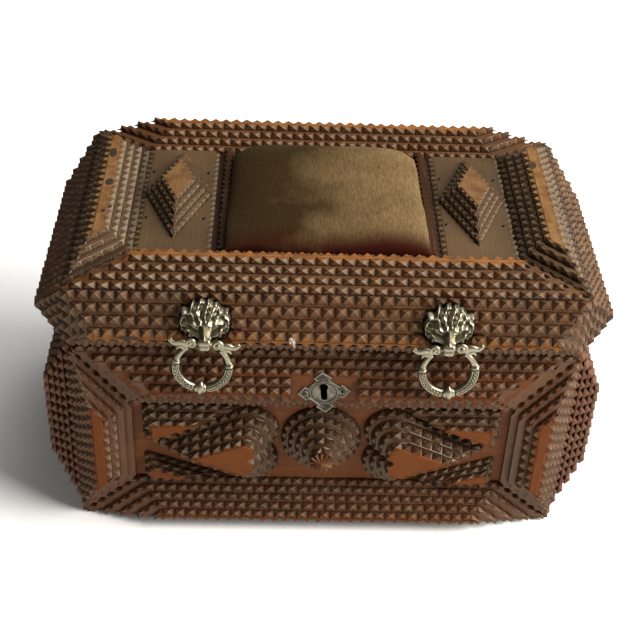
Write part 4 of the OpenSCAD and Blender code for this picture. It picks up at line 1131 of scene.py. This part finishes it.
# Shares of the way from the middle to the front edge over which the corners square and the cover overhangs
SQUARE_OVER = (0.0, 0.6)
OVERHANG_OVER = (0.3, 0.9)
CLOTH_STEPS = 20
TENSION = 30.0
COMPRESSION = 10.0
DENT_SPACING = 28.0
DENT = 0.7
# The pile's painted shade grows darker towards the left, with noise in its edge; wear runs along the front
SHADE_SPACING = 30.0
SHADE_WANDER = 0.08
PAINTED_SHADE_REACH = 0.9
WORN_REACH = 0.16


class TRAMPBOX_OT_pincushion(bpy.types.Operator):
    """Stuff the velvet pincushion between the strips"""
    bl_idname = "trampbox.pincushion"
    bl_label = "Pincushion"

    def execute(self, context):
        velvet = context.scene.box_velvet
        lo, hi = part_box("pincushion")
        bm = bmesh.new()
        bm.from_mesh(frame["nodes"]["pincushion"].data)
        bmesh.ops.remove_doubles(bm, verts=bm.verts, dist=LEVEL)
        bmesh.ops.recalc_face_normals(bm, faces=bm.faces)
        middle = (lo + hi) / 2
        half = (hi - lo) / 2
        for vert in bm.verts:
            across = (vert.co.x - middle.x) / half.x
            forward = (middle.y - vert.co.y) / half.y
            square = 1 + velvet.corners * (across * forward) ** 2 * ease(*SQUARE_OVER, forward)
            vert.co.x = middle.x + (vert.co.x - middle.x) * velvet.spread * square
            vert.co.y = middle.y + (vert.co.y - middle.y) * velvet.spread * square
            vert.co.y -= velvet.overhang * ease(*OVERHANG_OVER, forward)
        lo, hi = lo - Vector((velvet.overhang, 2 * velvet.overhang, 0)), hi + Vector((velvet.overhang, 0, 0))
        piece = new_piece("velvet_pincushion", bm, crushed_velvet(velvet), smooth=True)
        self.remesh(piece, velvet.voxel)
        self.stuff(context, piece, velvet, lo)
        self.settle(piece, lo, hi)
        piece.modifiers.new("round", "SUBSURF").levels = 1
        piece.modifiers["round"].render_levels = 1
        self.apply(piece)
        self.shade(piece, lo, hi)
        finish_piece(piece, "lid", "velvet", "pincushion")
        return {"FINISHED"}

    def apply(self, piece):
        """Make the result of the modifiers the piece's own mesh."""
        graph = bpy.context.evaluated_depsgraph_get()
        mesh = bpy.data.meshes.new_from_object(piece.evaluated_get(graph))
        piece.modifiers.clear()
        piece.data = mesh

    def remesh(self, piece, voxel):
        """An even mesh for the cover."""
        modifier = piece.modifiers.new("cover", "REMESH")
        modifier.mode = "VOXEL"
        modifier.voxel_size = voxel
        modifier.use_smooth_shade = True
        self.apply(piece)

    def stuff(self, context, piece, velvet, lo):
        """Blow the cover up with Cloth, holding its foot, and cap how far it moves."""
        before = [v.co.copy() for v in piece.data.vertices]
        held = piece.vertex_groups.new(name="held")
        held.add([v.index for v in piece.data.vertices if v.co.z < lo.z + velvet.voxel], 1.0, "REPLACE")
        cloth = piece.modifiers.new("stuffing", "CLOTH")
        cloth.settings.use_pressure = True
        cloth.settings.uniform_pressure_force = velvet.pressure
        cloth.settings.vertex_group_mass = "held"
        cloth.settings.effector_weights.gravity = 0.0
        cloth.settings.tension_stiffness = TENSION
        cloth.settings.compression_stiffness = COMPRESSION
        for step in range(1, CLOTH_STEPS + 1):
            context.scene.frame_set(step)
        graph = context.evaluated_depsgraph_get()
        blown = piece.evaluated_get(graph).to_mesh()
        after = [v.co.copy() for v in blown.vertices]
        piece.evaluated_get(graph).to_mesh_clear()
        piece.modifiers.clear()
        context.scene.frame_set(1)
        for vert, was, now in zip(piece.data.vertices, before, after):
            moved = now - was
            vert.co = was + moved * min(1.0, velvet.swell / max(moved.length, LEVEL))

    def settle(self, piece, lo, hi):
        """Keep the cover in its place, flat underneath, with soft hollows in its surface."""
        for vert in piece.data.vertices:
            dent = noise.noise(vert.co / (DENT_SPACING * MM)) * DENT * MM * ease(lo.z, hi.z, vert.co.z)
            vert.co.z += dent
            vert.co = Vector(min(max(c, a), b) for c, a, b in zip(vert.co, lo, hi))

    def shade(self, piece, lo, hi):
        """Store painted shade, darker towards the left, and where the pile is worn along the front."""
        shade = piece.data.attributes.new("shade", "FLOAT", "POINT")
        wear = piece.data.attributes.new("wear", "FLOAT", "POINT")
        for vert in piece.data.vertices:
            across = (vert.co.x - lo.x) / (hi.x - lo.x)
            back = (vert.co.y - lo.y) / (hi.y - lo.y)
            wander = noise.noise(vert.co / (SHADE_SPACING * MM)) * SHADE_WANDER
            shade.data[vert.index].value = 1.0 - ease(0.0, PAINTED_SHADE_REACH, across + wander)
            wear.data[vert.index].value = 1.0 - ease(0.0, WORN_REACH, back + wander / 2)


# Cast pulls

LION_RINGS = 60
LION_SPOKES = 180

# Sizes of the lion in millimetres
PIVOT_OUT = 9.5
JAW_R = 4.35
JAW_UP = -8.2
MANE_R = 13.0
MANE_EDGE = 1.6
MANE_FOOT = 1.8
MANE_RISE = 2.4
FACE_FOOT = 0.6
FACE_RISE = 5.4
FACE_HALF_W = 8.4
FACE_HALF_H = 7.6
FACE_DROP = 0.4
CURL_RISE = 0.55
FOREHEAD = (3.4, 5.0)
CHEEK = (6.6, 8.2)
RIDGE_ROUND = 0.3
LIP_OUT = 0.5
STUD_R = 1.6

# Sharp ridges of the face and mane on its right half: places across and up from the middle, and heights,
# in millimetres, then how steeply the ridge falls away
LION_RIDGES = (
    (((0, 1.8, 8.6), (0, -1.0, 9.4), (0, -4.8, 10.8)), 1.9),
    (((0.3, 1.4, 8.6), (1.8, 3.0, 9.9), (3.4, 1.7, 9.5), (5.2, 2.6, 9.1), (8.6, 0.9, 6.0)), 2.3),
    (((9.6, -0.8, 4.8), (6.8, -3.9, 7.0), (3.0, -5.4, 8.8), (1.2, -5.6, 10.0)), 2.1),
    (((6.8, 6.0, 5.6), (9.2, 6.6, 6.4), (11.6, 7.6, 5.4)), 1.7),
    (((9.6, 3.6, 4.4), (11.3, 1.0, 5.2), (11.3, -2.8, 5.0), (9.2, -6.2, 4.2)), 1.5),
    (((9.6, 0.6, 4.6), (9.9, -1.8, 4.4), (8.6, -3.6, 4.2)), 2.4),
    (((7.2, -5.8, 4.8), (7.2, -8.6, 4.0), (5.4, -10.2, 2.8)), 1.7),
)

# Locks of hair over the forehead, which differ from side to side
LION_LOCKS = (
    (((-4.8, 4.4, 7.2), (-6.4, 7.6, 6.4), (-6.2, 10.8, 3.8)), 1.9),
    (((-1.9, 4.2, 8.4), (-3.4, 8.0, 7.4), (-1.8, 12.6, 4.2)), 1.9),
    (((0.6, 3.6, 8.8), (0.4, 7.6, 7.2), (2.1, 12.7, 4.4)), 1.9),
    (((2.6, 4.8, 8.6), (3.7, 7.8, 7.2), (5.9, 11.2, 4.0)), 1.9),
    (((5.2, 4.4, 7.6), (6.8, 6.2, 6.4), (7.6, 9.6, 4.2)), 2.1),
)

# Tufts and locks round the edge of the mane on one half: angle from straight up, extra reach and width
LION_TUFTS = ((0.15, 1.5, 0.13), (0.5, 1.2, 0.13), (0.98, 2.4, 0.1), (1.45, 1.2, 0.26), (1.95, 1.0, 0.24),
              (2.4, 0.7, 0.2))

# Swellings and hollows of the face: height, place across and up from the middle, and half width and height
LION_FEATURES = {
    "nose": (0.8, 0, -4.8, 1.7, 0.9),
    "eye_socket": (-3.2, 3.4, -0.9, 1.7, 1.2),
    "eye": (1.9, 3.2, -0.6, 0.8, 0.55),
    "nostril": (-0.9, 1.1, -5.5, 0.4, 0.4),
}

# Upper and lower lip: place up from the jaw's middle, radius and half width
LION_LIPS = ((1.2, 2.0, 3.0), (-1.3, 2.3, 2.7))

# Tarnish gathers at these distances, in rings, with these weights, and on all that lies low
TARNISH_REACH = ((2, 0.8), (5, 0.35))
LOW_HEIGHT = 2.6
LOW_TARNISH = 0.45


def lion_outline(angle):
    """Reach of the mane at an angle, in millimetres."""
    away = abs(angle_from_up(angle))
    tufts = sum(more * math.exp(-((away - at) / wide) ** 2) for at, more, wide in LION_TUFTS)
    return MANE_R - MANE_EDGE + tufts


def angle_from_up(angle):
    """Signed angle from straight up."""
    return (angle - math.pi / 2 + math.pi) % math.tau - math.pi


def ridge_height(x, z, points, slope):
    """Height at a place beside a ridge that runs through the given peaks."""
    best = 0.0
    for a, b in zip(points, points[1:]):
        along = (b[0] - a[0], b[1] - a[1])
        t = ((x - a[0]) * along[0] + (z - a[1]) * along[1]) / (along[0] ** 2 + along[1] ** 2)
        t = min(max(t, 0.0), 1.0)
        away = math.hypot(x - a[0] - t * along[0], z - a[1] - t * along[1])
        best = max(best, a[2] + (b[2] - a[2]) * t - slope * (math.hypot(away, RIDGE_ROUND) - RIDGE_ROUND))
    return best


def lion_height(x, z):
    """Height of the cast face above its seat, in millimetres, at a place on its front."""
    u = abs(x)
    radius = math.hypot(x, z)
    h = MANE_FOOT + MANE_RISE * max(0.0, 1 - (radius / MANE_R) ** 2)
    inside = 1 - (u / FACE_HALF_W) ** 2 - ((z + FACE_DROP) / FACE_HALF_H) ** 2
    h = max(h, FACE_FOOT + FACE_RISE * math.sqrt(max(0.0, inside)))
    for points, slope in LION_RIDGES:
        h = max(h, ridge_height(u, z, points, slope))
    for points, slope in LION_LOCKS:
        h = max(h, ridge_height(x, z, points, slope))
    # Curls of hair about 3 mm across, above the forehead and outside the cheeks
    curls = math.sin(1.9 * x + 0.8 * z) * math.sin(1.7 * z - 0.6 * x + 1.0)
    h += CURL_RISE * curls * max(ease(*FOREHEAD, z), ease(*CHEEK, u))
    for rise, *hill in LION_FEATURES.values():
        h += rise * bump_at(u, z, *hill)
    h = max(h, jaw_height(x, z))
    edge = lion_outline(math.atan2(z, x)) - radius
    return max(h * ease(-0.2, 1.0, edge), FACE_FOOT)


def jaw_height(x, z):
    """Height of the jaw, which wraps the bar of the bail: two lips, with the mouth cut between them."""
    up = z - JAW_UP
    lips = 0.0
    for middle, radius, width in LION_LIPS:
        side = 1 - (abs(x) / width) ** 4
        if side > 0:
            reach = radius ** 2 * math.sqrt(side) - (up - middle) ** 2
            lips = max(lips, PIVOT_OUT + LIP_OUT + math.sqrt(reach) if reach > 0 else 0.0)
    return lips - 0.5 * bump_at(x, up, 0, -1.2, 0.4, 0.6)


class TRAMPBOX_OT_lion_heads(bpy.types.Operator):
    """Cast the two lion heads"""
    bl_idname = "trampbox.lion_heads"
    bl_label = "Lion Heads"

    def execute(self, context):
        for side in ("left", "right"):
            node = f"{side}_lion_head"
            finish_piece(self.head(node), "lid", "cast_brass", node)
        return {"FINISHED"}

    def head(self, node):
        """A face as a relief on rings and spokes, closed behind, with its stud."""
        lo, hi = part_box(node)
        seat = lo.y + (PIVOT_OUT + JAW_R) * MM
        middle = Vector(((lo.x + hi.x) / 2, seat, hi.z - MANE_R * MM))
        spokes = [math.tau * j / LION_SPOKES for j in range(LION_SPOKES)]
        heights = []
        for i in range(LION_RINGS + 1):
            heights.append([])
            for angle in spokes:
                reach = lion_outline(angle) * i / LION_RINGS
                heights[-1].append(lion_height(reach * math.cos(angle), reach * math.sin(angle)))
        bm = bmesh.new()
        hollow = bm.verts.layers.float.new("hollow")
        centre = bm.verts.new(middle + Vector((0, -heights[0][0], 0)) * MM)
        rows = []
        for i in range(1, LION_RINGS + 2):
            rows.append([])
            step = min(i, LION_RINGS)
            for j, angle in enumerate(spokes):
                reach = lion_outline(angle) * step / LION_RINGS
                h = heights[step][j] if i <= LION_RINGS else 0.0
                place = Vector((reach * math.cos(angle), -h, reach * math.sin(angle)))
                vert = bm.verts.new(middle + place * MM)
                vert[hollow] = self.dirt(heights, step, j)
                rows[-1].append(vert)
        for j in range(LION_SPOKES):
            k = (j + 1) % LION_SPOKES
            bm.faces.new((centre, rows[0][j], rows[0][k]))
            for inner, outer in zip(rows, rows[1:]):
                bm.faces.new((inner[j], outer[j], outer[k], inner[k]))
        bm.faces.new(list(reversed(rows[-1])))
        add_tube(bm, [middle, Vector((middle.x, hi.y, middle.z))], [STUD_R * MM] * 2, 16)
        bmesh.ops.recalc_face_normals(bm, faces=bm.faces)
        return new_piece(node + "_cast", bm, metal("cast_brass"), smooth=True)

    def dirt(self, heights, i, j):
        """How much tarnish lies at a place: more where the casting round it stands higher."""
        h = heights[i][j]
        total = 0.0
        for reach, weight in TARNISH_REACH:
            around = 0.0
            for di, dj in ((-1, 0), (1, 0), (0, -1), (0, 1)):
                ring = min(max(i + di * reach, 0), LION_RINGS)
                spoke = (j + dj * max(1, reach * 10 // max(i, 10))) % LION_SPOKES
                around += heights[ring][spoke] / 4
            total += weight * max(around - h, 0.0)
        return min(total + (LOW_TARNISH if h < LOW_HEIGHT else 0.0), 1.0)


# Sizes of the bail in millimetres, and its angles from the top of the ring
BAIL_R = 12.6
PIVOT_HALF_L = 6.0
PIVOT_R = 1.0
BAR_R = 1.35
BAR_SWELL = 0.25
BAR_STOUT = 0.5
BAR_STEPS = 56
STOUT_FROM = 1.38
BEADED_FROM = 1.4
BEADED_TO = 1.5
SCROLL_AT = 6.15
SCROLL_R = 2.45
SCROLL_CLOSES = 1.75
SCROLL_THICK = 1.2
SCROLL_TAPER = 0.55
SCROLL_RISE = 0.9
SCROLL_START = -52
SCROLL_TURN = 480
SCROLL_STEPS = 40
SCROLL_BOSS_R = 0.85
HORN_OUT = 0.3
HORN_TIP_R = 0.62
HORN_FLATNESS = 0.4
BEADS = 9
BEAD_START = 92
BEAD_PITCH = 8.6
BEAD_OUT = 2.0
BEAD_R = 0.26
BEAD_SUNK = 0.1
BEAD_RING_R = 0.72
BEAD_RING_THICK = 0.27
RIM_AWAY = 1.35
RIM_OUT = 1.55
RIM_THICK = 0.36
RIM_START = 88
RIM_SPAN = 76
RIM_STEPS = 24
LEAF_STEPS = 14
BAIL_LEAN = math.radians(5)
BAIL_TILT = math.radians(5)
BAIL_START = math.radians(38)
COLLAR_AT = math.radians(80)

# Turned rings of a collar: degrees from its middle, and radius
COLLAR_RINGS = ((-4, 1.9), (0, 2.45), (4, 2.1))

# Horn and lobe: points across and up from the pivot, thickness at the root and share lost at the tip
HORNS = (
    (((7.4, -1.9), (9.2, -0.5), (11.2, -0.2), (13.2, -0.7), (15.0, -0.3), (16.3, 0.7), (15.8, 1.4)),
     1.75, 0.72),
    (((8.4, -3.2), (10.0, -2.4), (11.6, -2.6), (12.6, -3.6)), 1.5, 0.7),
)

# Leaves at the foot: place across, top and bottom from the foot, thickness and how far they stand out
FOOT_LEAVES = ((0, 4.6, -3.8, 1.9, 1.5), (-2.0, 2.9, -2.6, 1.2, 1.2), (2.0, 2.9, -2.6, 1.2, 1.2))


class TRAMPBOX_OT_pull_rings(bpy.types.Operator):
    """Cast the two bails that hang from the lions"""
    bl_idname = "trampbox.pull_rings"
    bl_label = "Pull Rings"

    def execute(self, context):
        for joint in frame["record"]["behaviour"]["joints"]:
            if joint["name"].endswith("ring_swing"):
                node = joint["name"].replace("_swing", "")
                finish_piece(self.bail(node, Vector(joint["pos_m"])), node, "cast_brass", node)
        return {"FINISHED"}

    def bail(self, node, pivot):
        """A bail with scrolled ends, leaf horns, collars, a beaded lower half and a leaf at the bottom."""
        tilt = BAIL_TILT if pivot.x < 0 else -BAIL_TILT
        lean = Matrix.Rotation(-BAIL_LEAN, 3, "X") @ Matrix.Rotation(tilt, 3, "Y")

        def place(x, z, out=0.0):
            """A place by its millimetres across and up from the pivot, and out of the bail's plane."""
            return pivot + lean @ Vector((x, -out, z)) * MM

        def on_ring(side, a, r=BAIL_R, out=0.0):
            """A place by its angle from the top of the ring."""
            return place(side * r * math.sin(a), r * math.cos(a) - BAIL_R, out)

        bm = bmesh.new()
        bm.verts.layers.float.new("hollow")
        front = lean @ Vector((0, -1, 0))
        for side in (-1, 1):
            self.bar(bm, on_ring, side, front)
            self.scroll(bm, place, side)
            self.horns(bm, place, side)
            self.beads(bm, on_ring, side, front)
            for degrees, radius in COLLAR_RINGS:
                self.collar(bm, on_ring, side, COLLAR_AT + math.radians(degrees), radius)
        add_tube(bm, [place(-PIVOT_HALF_L, 0), place(PIVOT_HALF_L, 0)], [PIVOT_R * MM] * 2, 12)
        self.leaf(bm, place)
        bmesh.ops.recalc_face_normals(bm, faces=bm.faces)
        return new_piece(node + "_bail", bm, metal("cast_brass"), smooth=True)

    def bar(self, bm, on_ring, side, front):
        """One half of the bar: slim and grooved above the collar, stout below it."""
        path, radii, angles = [], [], []
        for step in range(BAR_STEPS + 1):
            a = BAIL_START + (math.pi - BAIL_START) * step / BAR_STEPS
            angles.append(a)
            path.append(on_ring(side, a))
            thick = (BAR_R + BAR_SWELL * ease(BAIL_START, COLLAR_AT, a)
                     + BAR_STOUT * ease(STOUT_FROM, BEADED_TO, a))
            radii.append(thick * MM)

        def dirt(i, way):
            """Dark behind, and in the groove under the beads."""
            beaded = ease(BEADED_FROM, BEADED_TO, angles[i])
            groove = ease(0.62, 0.8, way.dot(front)) * beaded
            return max(groove, 0.75 * ease(0.2, 0.9, -way.dot(front)))

        add_tube(bm, path, radii, 20, dirt=dirt)

    def scroll(self, bm, place, side):
        """The end of the bail curls over the top and inwards round a boss."""
        path, radii = [], []
        for step in range(SCROLL_STEPS + 1):
            t = step / SCROLL_STEPS
            a = math.radians(SCROLL_START + SCROLL_TURN * t)
            r = SCROLL_R - SCROLL_CLOSES * t
            out = HORN_OUT + SCROLL_RISE * t
            path.append(place(side * (SCROLL_AT + r * math.cos(a)), r * math.sin(a), out))
            radii.append((SCROLL_THICK - SCROLL_TAPER * t) * MM)
        add_tube(bm, path, radii, 12)
        add_ball(bm, place(side * SCROLL_AT, 0, 1.0), SCROLL_BOSS_R * MM)

    def horns(self, bm, place, side):
        """A leaf sweeps out from the scroll to a curled tip, with a shorter lobe hanging under it."""
        for points, thick, taper in HORNS:
            path = smooth_path([place(side * x, z, HORN_OUT) for x, z in points], 6)
            last = len(path) - 1
            radii = [(thick * (1 - taper * ease(0.3, 1.0, i / last)) + 0.15) * MM for i in range(last + 1)]
            add_tube(bm, path, radii, 12, (Vector((0, 1, 0)), HORN_FLATNESS))
            add_ball(bm, path[-1], HORN_TIP_R * MM)

    def beads(self, bm, on_ring, side, front):
        """A row of ringed beads between two fine rims along the front of the lower half."""
        for step in range(BEADS):
            a = math.radians(BEAD_START + BEAD_PITCH * step)
            middle = on_ring(side, a, out=BEAD_OUT)
            circle = []
            for k in range(13):
                turn = math.tau * k / 12
                circle.append(on_ring(side, a + BEAD_RING_R * math.cos(turn) / BAIL_R,
                                      BAIL_R + BEAD_RING_R * math.sin(turn), BEAD_OUT))
            add_tube(bm, circle, [BEAD_RING_THICK * MM] * len(circle), 6)
            add_ball(bm, middle - front * BEAD_SUNK * MM, BEAD_R * MM)
        angles = [math.radians(RIM_START + RIM_SPAN * k / RIM_STEPS) for k in range(RIM_STEPS + 1)]
        for shift in (-RIM_AWAY, RIM_AWAY):
            rim = [on_ring(side, a, BAIL_R + shift, RIM_OUT) for a in angles]
            add_tube(bm, rim, [RIM_THICK * MM] * len(rim), 8)

    def collar(self, bm, on_ring, side, a, radius):
        """A turned collar on the bar."""
        ends = [on_ring(side, a + shift / BAIL_R) for shift in (-0.42, -0.25, 0.25, 0.42)]
        add_tube(bm, ends, [radius * share * MM for share in (0.82, 1.0, 1.0, 0.82)], 18)

    def leaf(self, bm, place):
        """A pointed leaf wrapped over the bottom of the bail, with a side leaf on each hand."""
        foot = -2 * BAIL_R
        for x, top, low, thick, out in FOOT_LEAVES:
            path, radii = [], []
            for i in range(LEAF_STEPS + 1):
                t = i / LEAF_STEPS
                path.append(place(x * (1 - 0.3 * abs(2 * t - 1)), foot + top + (low - top) * t,
                                  out * (1 - 0.8 * (2 * t - 1) ** 2)))
                radii.append((thick * math.sin(math.pi * (0.04 + 0.9 * t ** 0.8)) + 0.1) * MM)
            add_tube(bm, path, radii, 12)


# Keyhole plate

# Sizes of the plate in millimetres, and the corners of a quarter of its outline
PLATE_TURN = math.radians(6)
PLATE_QUARTER = ((13, 0), (9, 4.5), (7.8, 3.1), (3.1, 7.8), (4.5, 9))
PLATE_WALL = 0.8
PLATE_FIELD = 0.7
RIM_INSET = 0.5
FIELD_INSET = 0.95
KEYHOLE_RISE = 3.3
KEYHOLE_TOP_R = 2.35
KEYHOLE_SLOT_R = 1.65
KEYHOLE_FOOT = 8.3
PIN_AT = 9.5

# Fine circles on the plate: place across, radius, thickness, number of steps and dirt
PLATE_CIRCLES = ((0, 6.7, 0.26, 48, 0.0), (0, 6.25, 0.26, 48, 1.0), (-PIN_AT, 1.45, 0.3, 24, 0.0),
                 (PIN_AT, 1.45, 0.3, 24, 0.0))


class TRAMPBOX_OT_escutcheon(bpy.types.Operator):
    """Cut the pewter keyhole plate"""
    bl_idname = "trampbox.escutcheon"
    bl_label = "Keyhole Plate"

    def execute(self, context):
        lo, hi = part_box("escutcheon")
        self.middle = Vector(((lo.x + hi.x) / 2, hi.y, (lo.z + hi.z) / 2))
        self.thick = (hi.y - lo.y) / MM
        self.field = self.thick * PLATE_FIELD
        bm = bmesh.new()
        self.hollow = bm.verts.layers.float.new("hollow")
        outline = []
        for turn in range(4):
            c, s = math.cos(turn * math.pi / 2), math.sin(turn * math.pi / 2)
            outline.extend(Vector((x * c - y * s, x * s + y * c)) for x, y in PLATE_QUARTER)
        shape = self.keyhole(KEYHOLE_TOP_R, KEYHOLE_SLOT_R, KEYHOLE_FOOT)
        hole = [p + Vector((0, KEYHOLE_RISE)) for p in shape]
        rim = inset_loop(outline, [RIM_INSET] * len(outline))
        field = inset_loop(outline, [FIELD_INSET] * len(outline))
        levels = ((outline, 0.0, 0.5), (outline, self.thick * PLATE_WALL, 0.0), (rim, self.thick, 0.0),
                  (field, self.field, 0.75))
        rings = [self.ring(bm, loop, level, dirt) for loop, level, dirt in levels]
        for a, b in zip(rings, rings[1:]):
            bridge(bm, a, b)
        inner = [self.ring(bm, hole, self.field, 0.2), self.ring(bm, hole, 0.0, 1.0)]
        bridge(bm, inner[1], inner[0])
        self.cap(bm, field, hole, rings[-1] + inner[0])
        self.cap(bm, outline, hole, rings[0] + inner[1])
        for circle in PLATE_CIRCLES:
            self.raised_circle(bm, *circle)
        bmesh.ops.recalc_face_normals(bm, faces=bm.faces)
        piece = new_piece("keyhole_plate", bm, metal("pewter"))
        finish_piece(piece, "base", "pewter", "escutcheon")
        return {"FINISHED"}

    def at(self, p, level):
        """A place on the plate, in millimetres across it and out from its seat."""
        c, s = math.cos(PLATE_TURN), math.sin(PLATE_TURN)
        return self.middle + Vector((p.x * c - p.y * s, -level, p.x * s + p.y * c)) * MM

    def ring(self, bm, loop, level, dirt):
        """Points of a loop at one level, with their dirt."""
        verts = [bm.verts.new(self.at(p, level)) for p in loop]
        for vert in verts:
            vert[self.hollow] = dirt
        return verts

    def cap(self, bm, outer, hole, verts):
        """A flat face between an outer loop and the keyhole."""
        loops = [[Vector((p.x, p.y, 0)) for p in loop] for loop in (outer, hole)]
        for tri in geometry.tessellate_polygon(loops):
            bm.faces.new([verts[i] for i in tri])

    def keyhole(self, top, slot, foot):
        """Round top and a slot with a round foot."""
        start = math.asin(slot / top)
        loop = []
        for i in range(17):
            a = -math.pi / 2 + start + (math.tau - 2 * start) * i / 16
            loop.append(Vector((top * math.cos(a), top * math.sin(a))))
        for i in range(9):
            a = math.pi + math.pi * i / 8
            loop.append(Vector((slot * math.cos(a), slot - foot + slot * math.sin(a))))
        return loop

    def raised_circle(self, bm, x, radius, thick, steps, dirt):
        """A fine ring round the keyhole or a pin."""
        angles = [math.tau * i / steps for i in range(steps + 1)]
        path = [self.at(Vector((x + radius * math.cos(a), radius * math.sin(a))), self.field) for a in angles]
        add_tube(bm, path, [thick * MM] * len(path), 8, dirt=lambda i, way: dirt)


# Plain boards and small hardware

class TRAMPBOX_OT_boards(bpy.types.Operator):
    """Finish the plain boards of the box and lid"""
    bl_idname = "trampbox.boards"
    bl_label = "Plain Boards"

    def execute(self, context):
        woods = context.scene.box_woods
        across = finish_of("board", plain_board, "darkened_board", tuple(woods.board))
        endways = finish_of("side_board", plain_board, "darkened_side_board", tuple(woods.board), (14, 1, 14))
        bare = finish_of("recess_board", plain_board, "bare_recess_board", tuple(woods.recess))
        dress_node("base_front_board", bare)
        for node in ("bottom_board", "base_back_board", "lid_top_board", "lid_front_rail", "lid_back_rail"):
            dress_node(node, across)
        for node in ("base_left_board", "base_right_board", "lid_left_rail", "lid_right_rail"):
            dress_node(node, endways)
        return {"FINISHED"}


class TRAMPBOX_OT_hardware(bpy.types.Operator):
    """Finish the hinges, lock, screws, tacks and pins"""
    bl_idname = "trampbox.hardware"
    bl_label = "Hardware"

    def execute(self, context):
        for node in ("left_hinge_base_leaf", "right_hinge_base_leaf", "left_hinge_lid_leaf",
                     "right_hinge_lid_leaf", "hinge_base_screws", "hinge_lid_screws", "lock_bolt",
                     "lock_screws", "strike_screws"):
            dress_node(node, metal("old_brass"))
        for node in ("lock_case", "strike_plate", "lion_nuts", "hinge_pins", "escutcheon_pins",
                     "panel_tacks"):
            dress_node(node, metal("iron"))
        return {"FINISHED"}


# Stage

SENSOR_MM = 36.0
FLOOR_HALF = 3.0
ROOM_LIGHT = 0.15

# Each light: its place, the point that it faces, its width in metres, its watts and its tint
LIGHTS = {
    "window": ((1.15, -0.38, 0.95), (0, 0, 0.08), 1.0, 66, (1.0, 0.98, 0.94)),
    "front_fill": ((-0.35, -1.3, 0.3), (0, 0, 0.08), 1.0, 2.5, (1.0, 0.92, 0.84)),
    "sky": ((0.45, 0.35, 1.45), (0, 0, 0.1), 0.9, 13, (1.0, 1.0, 1.0)),
}


def add_light(name, place, aim, size, watts, tint):
    """A soft square light turned to a point."""
    data = bpy.data.lights.new(name, "AREA")
    data.shape = "SQUARE"
    data.size = size
    data.energy = watts
    data.color = tint
    light = bpy.data.objects.new(name, data)
    light.location = place
    light.rotation_euler = (Vector(aim) - Vector(place)).to_track_quat("-Z", "Y").to_euler()
    bpy.context.scene.collection.objects.link(light)


class TRAMPBOX_OT_stage(bpy.types.Operator):
    """Set the camera, the lights and the floor"""
    bl_idname = "trampbox.stage"
    bl_label = "Stage"

    def execute(self, context):
        scene = context.scene
        stage = scene.box_stage
        data = bpy.data.cameras.new("camera")
        data.sensor_width = SENSOR_MM
        data.lens = stage.lens
        camera = bpy.data.objects.new("camera", data)
        turn = (Matrix.Rotation(stage.yaw, 4, "Z") @ Matrix.Rotation(math.pi / 2 - stage.pitch, 4, "X")
                @ Matrix.Rotation(stage.roll, 4, "Z"))
        camera.matrix_world = Matrix.Translation(stage.camera) @ turn
        scene.collection.objects.link(camera)
        scene.camera = camera
        bm = bmesh.new()
        bmesh.ops.create_grid(bm, x_segments=4, y_segments=4, size=FLOOR_HALF)
        floor = new_piece("floor", bm, studio_floor(tuple(stage.floor), tuple(stage.floor_fibre)))
        for name, values in LIGHTS.items():
            add_light(name, *values)
        world = bpy.data.worlds.new("studio")
        scene.world = world
        world.use_nodes = True
        background = world.node_tree.nodes["Background"]
        background.inputs["Color"].default_value = (1.0, 1.0, 1.0, 1.0)
        background.inputs["Strength"].default_value = ROOM_LIGHT
        scene.view_settings.view_transform = "Standard"
        return {"FINISHED"}


class TRAMPBOX_PT_panel(bpy.types.Panel):
    """Lists the steps that dress the box"""
    bl_idname = "TRAMPBOX_PT_panel"
    bl_label = "Tramp Art Box"
    bl_space_type = "VIEW_3D"
    bl_region_type = "UI"
    bl_category = "Tramp Art Box"

    def draw(self, context):
        for operator in OPERATORS:
            self.layout.operator(operator.bl_idname)


GROUPS = {
    "box_notches": TRAMPBOX_PG_notches,
    "box_woods": TRAMPBOX_PG_woods,
    "box_velvet": TRAMPBOX_PG_velvet,
    "box_metals": TRAMPBOX_PG_metals,
    "box_stage": TRAMPBOX_PG_stage,
}
OPERATORS = (
    TRAMPBOX_OT_stage,
    TRAMPBOX_OT_boards,
    TRAMPBOX_OT_layers,
    TRAMPBOX_OT_ornaments,
    TRAMPBOX_OT_lid_field,
    TRAMPBOX_OT_marks,
    TRAMPBOX_OT_pincushion,
    TRAMPBOX_OT_lion_heads,
    TRAMPBOX_OT_pull_rings,
    TRAMPBOX_OT_escutcheon,
    TRAMPBOX_OT_hardware,
)


def register():
    """Add the property groups, the operators and the panel."""
    for name, group in GROUPS.items():
        bpy.utils.register_class(group)
        setattr(bpy.types.Scene, name, bpy.props.PointerProperty(type=group))
    for operator in OPERATORS:
        bpy.utils.register_class(operator)
    bpy.utils.register_class(TRAMPBOX_PT_panel)


def unregister():
    """Take away what register added."""
    bpy.utils.unregister_class(TRAMPBOX_PT_panel)
    for operator in reversed(OPERATORS):
        bpy.utils.unregister_class(operator)
    for name, group in GROUPS.items():
        delattr(bpy.types.Scene, name)
        bpy.utils.unregister_class(group)


def main():
    """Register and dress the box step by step."""
    register()
    for operator in OPERATORS:
        group, name = operator.bl_idname.split(".")
        getattr(getattr(bpy.ops, group), name)()
    if NOTCH_TOOLS:
        bpy.data.objects.remove(NOTCH_TOOLS["tooth"])


if __name__ == "__main__":
    main()
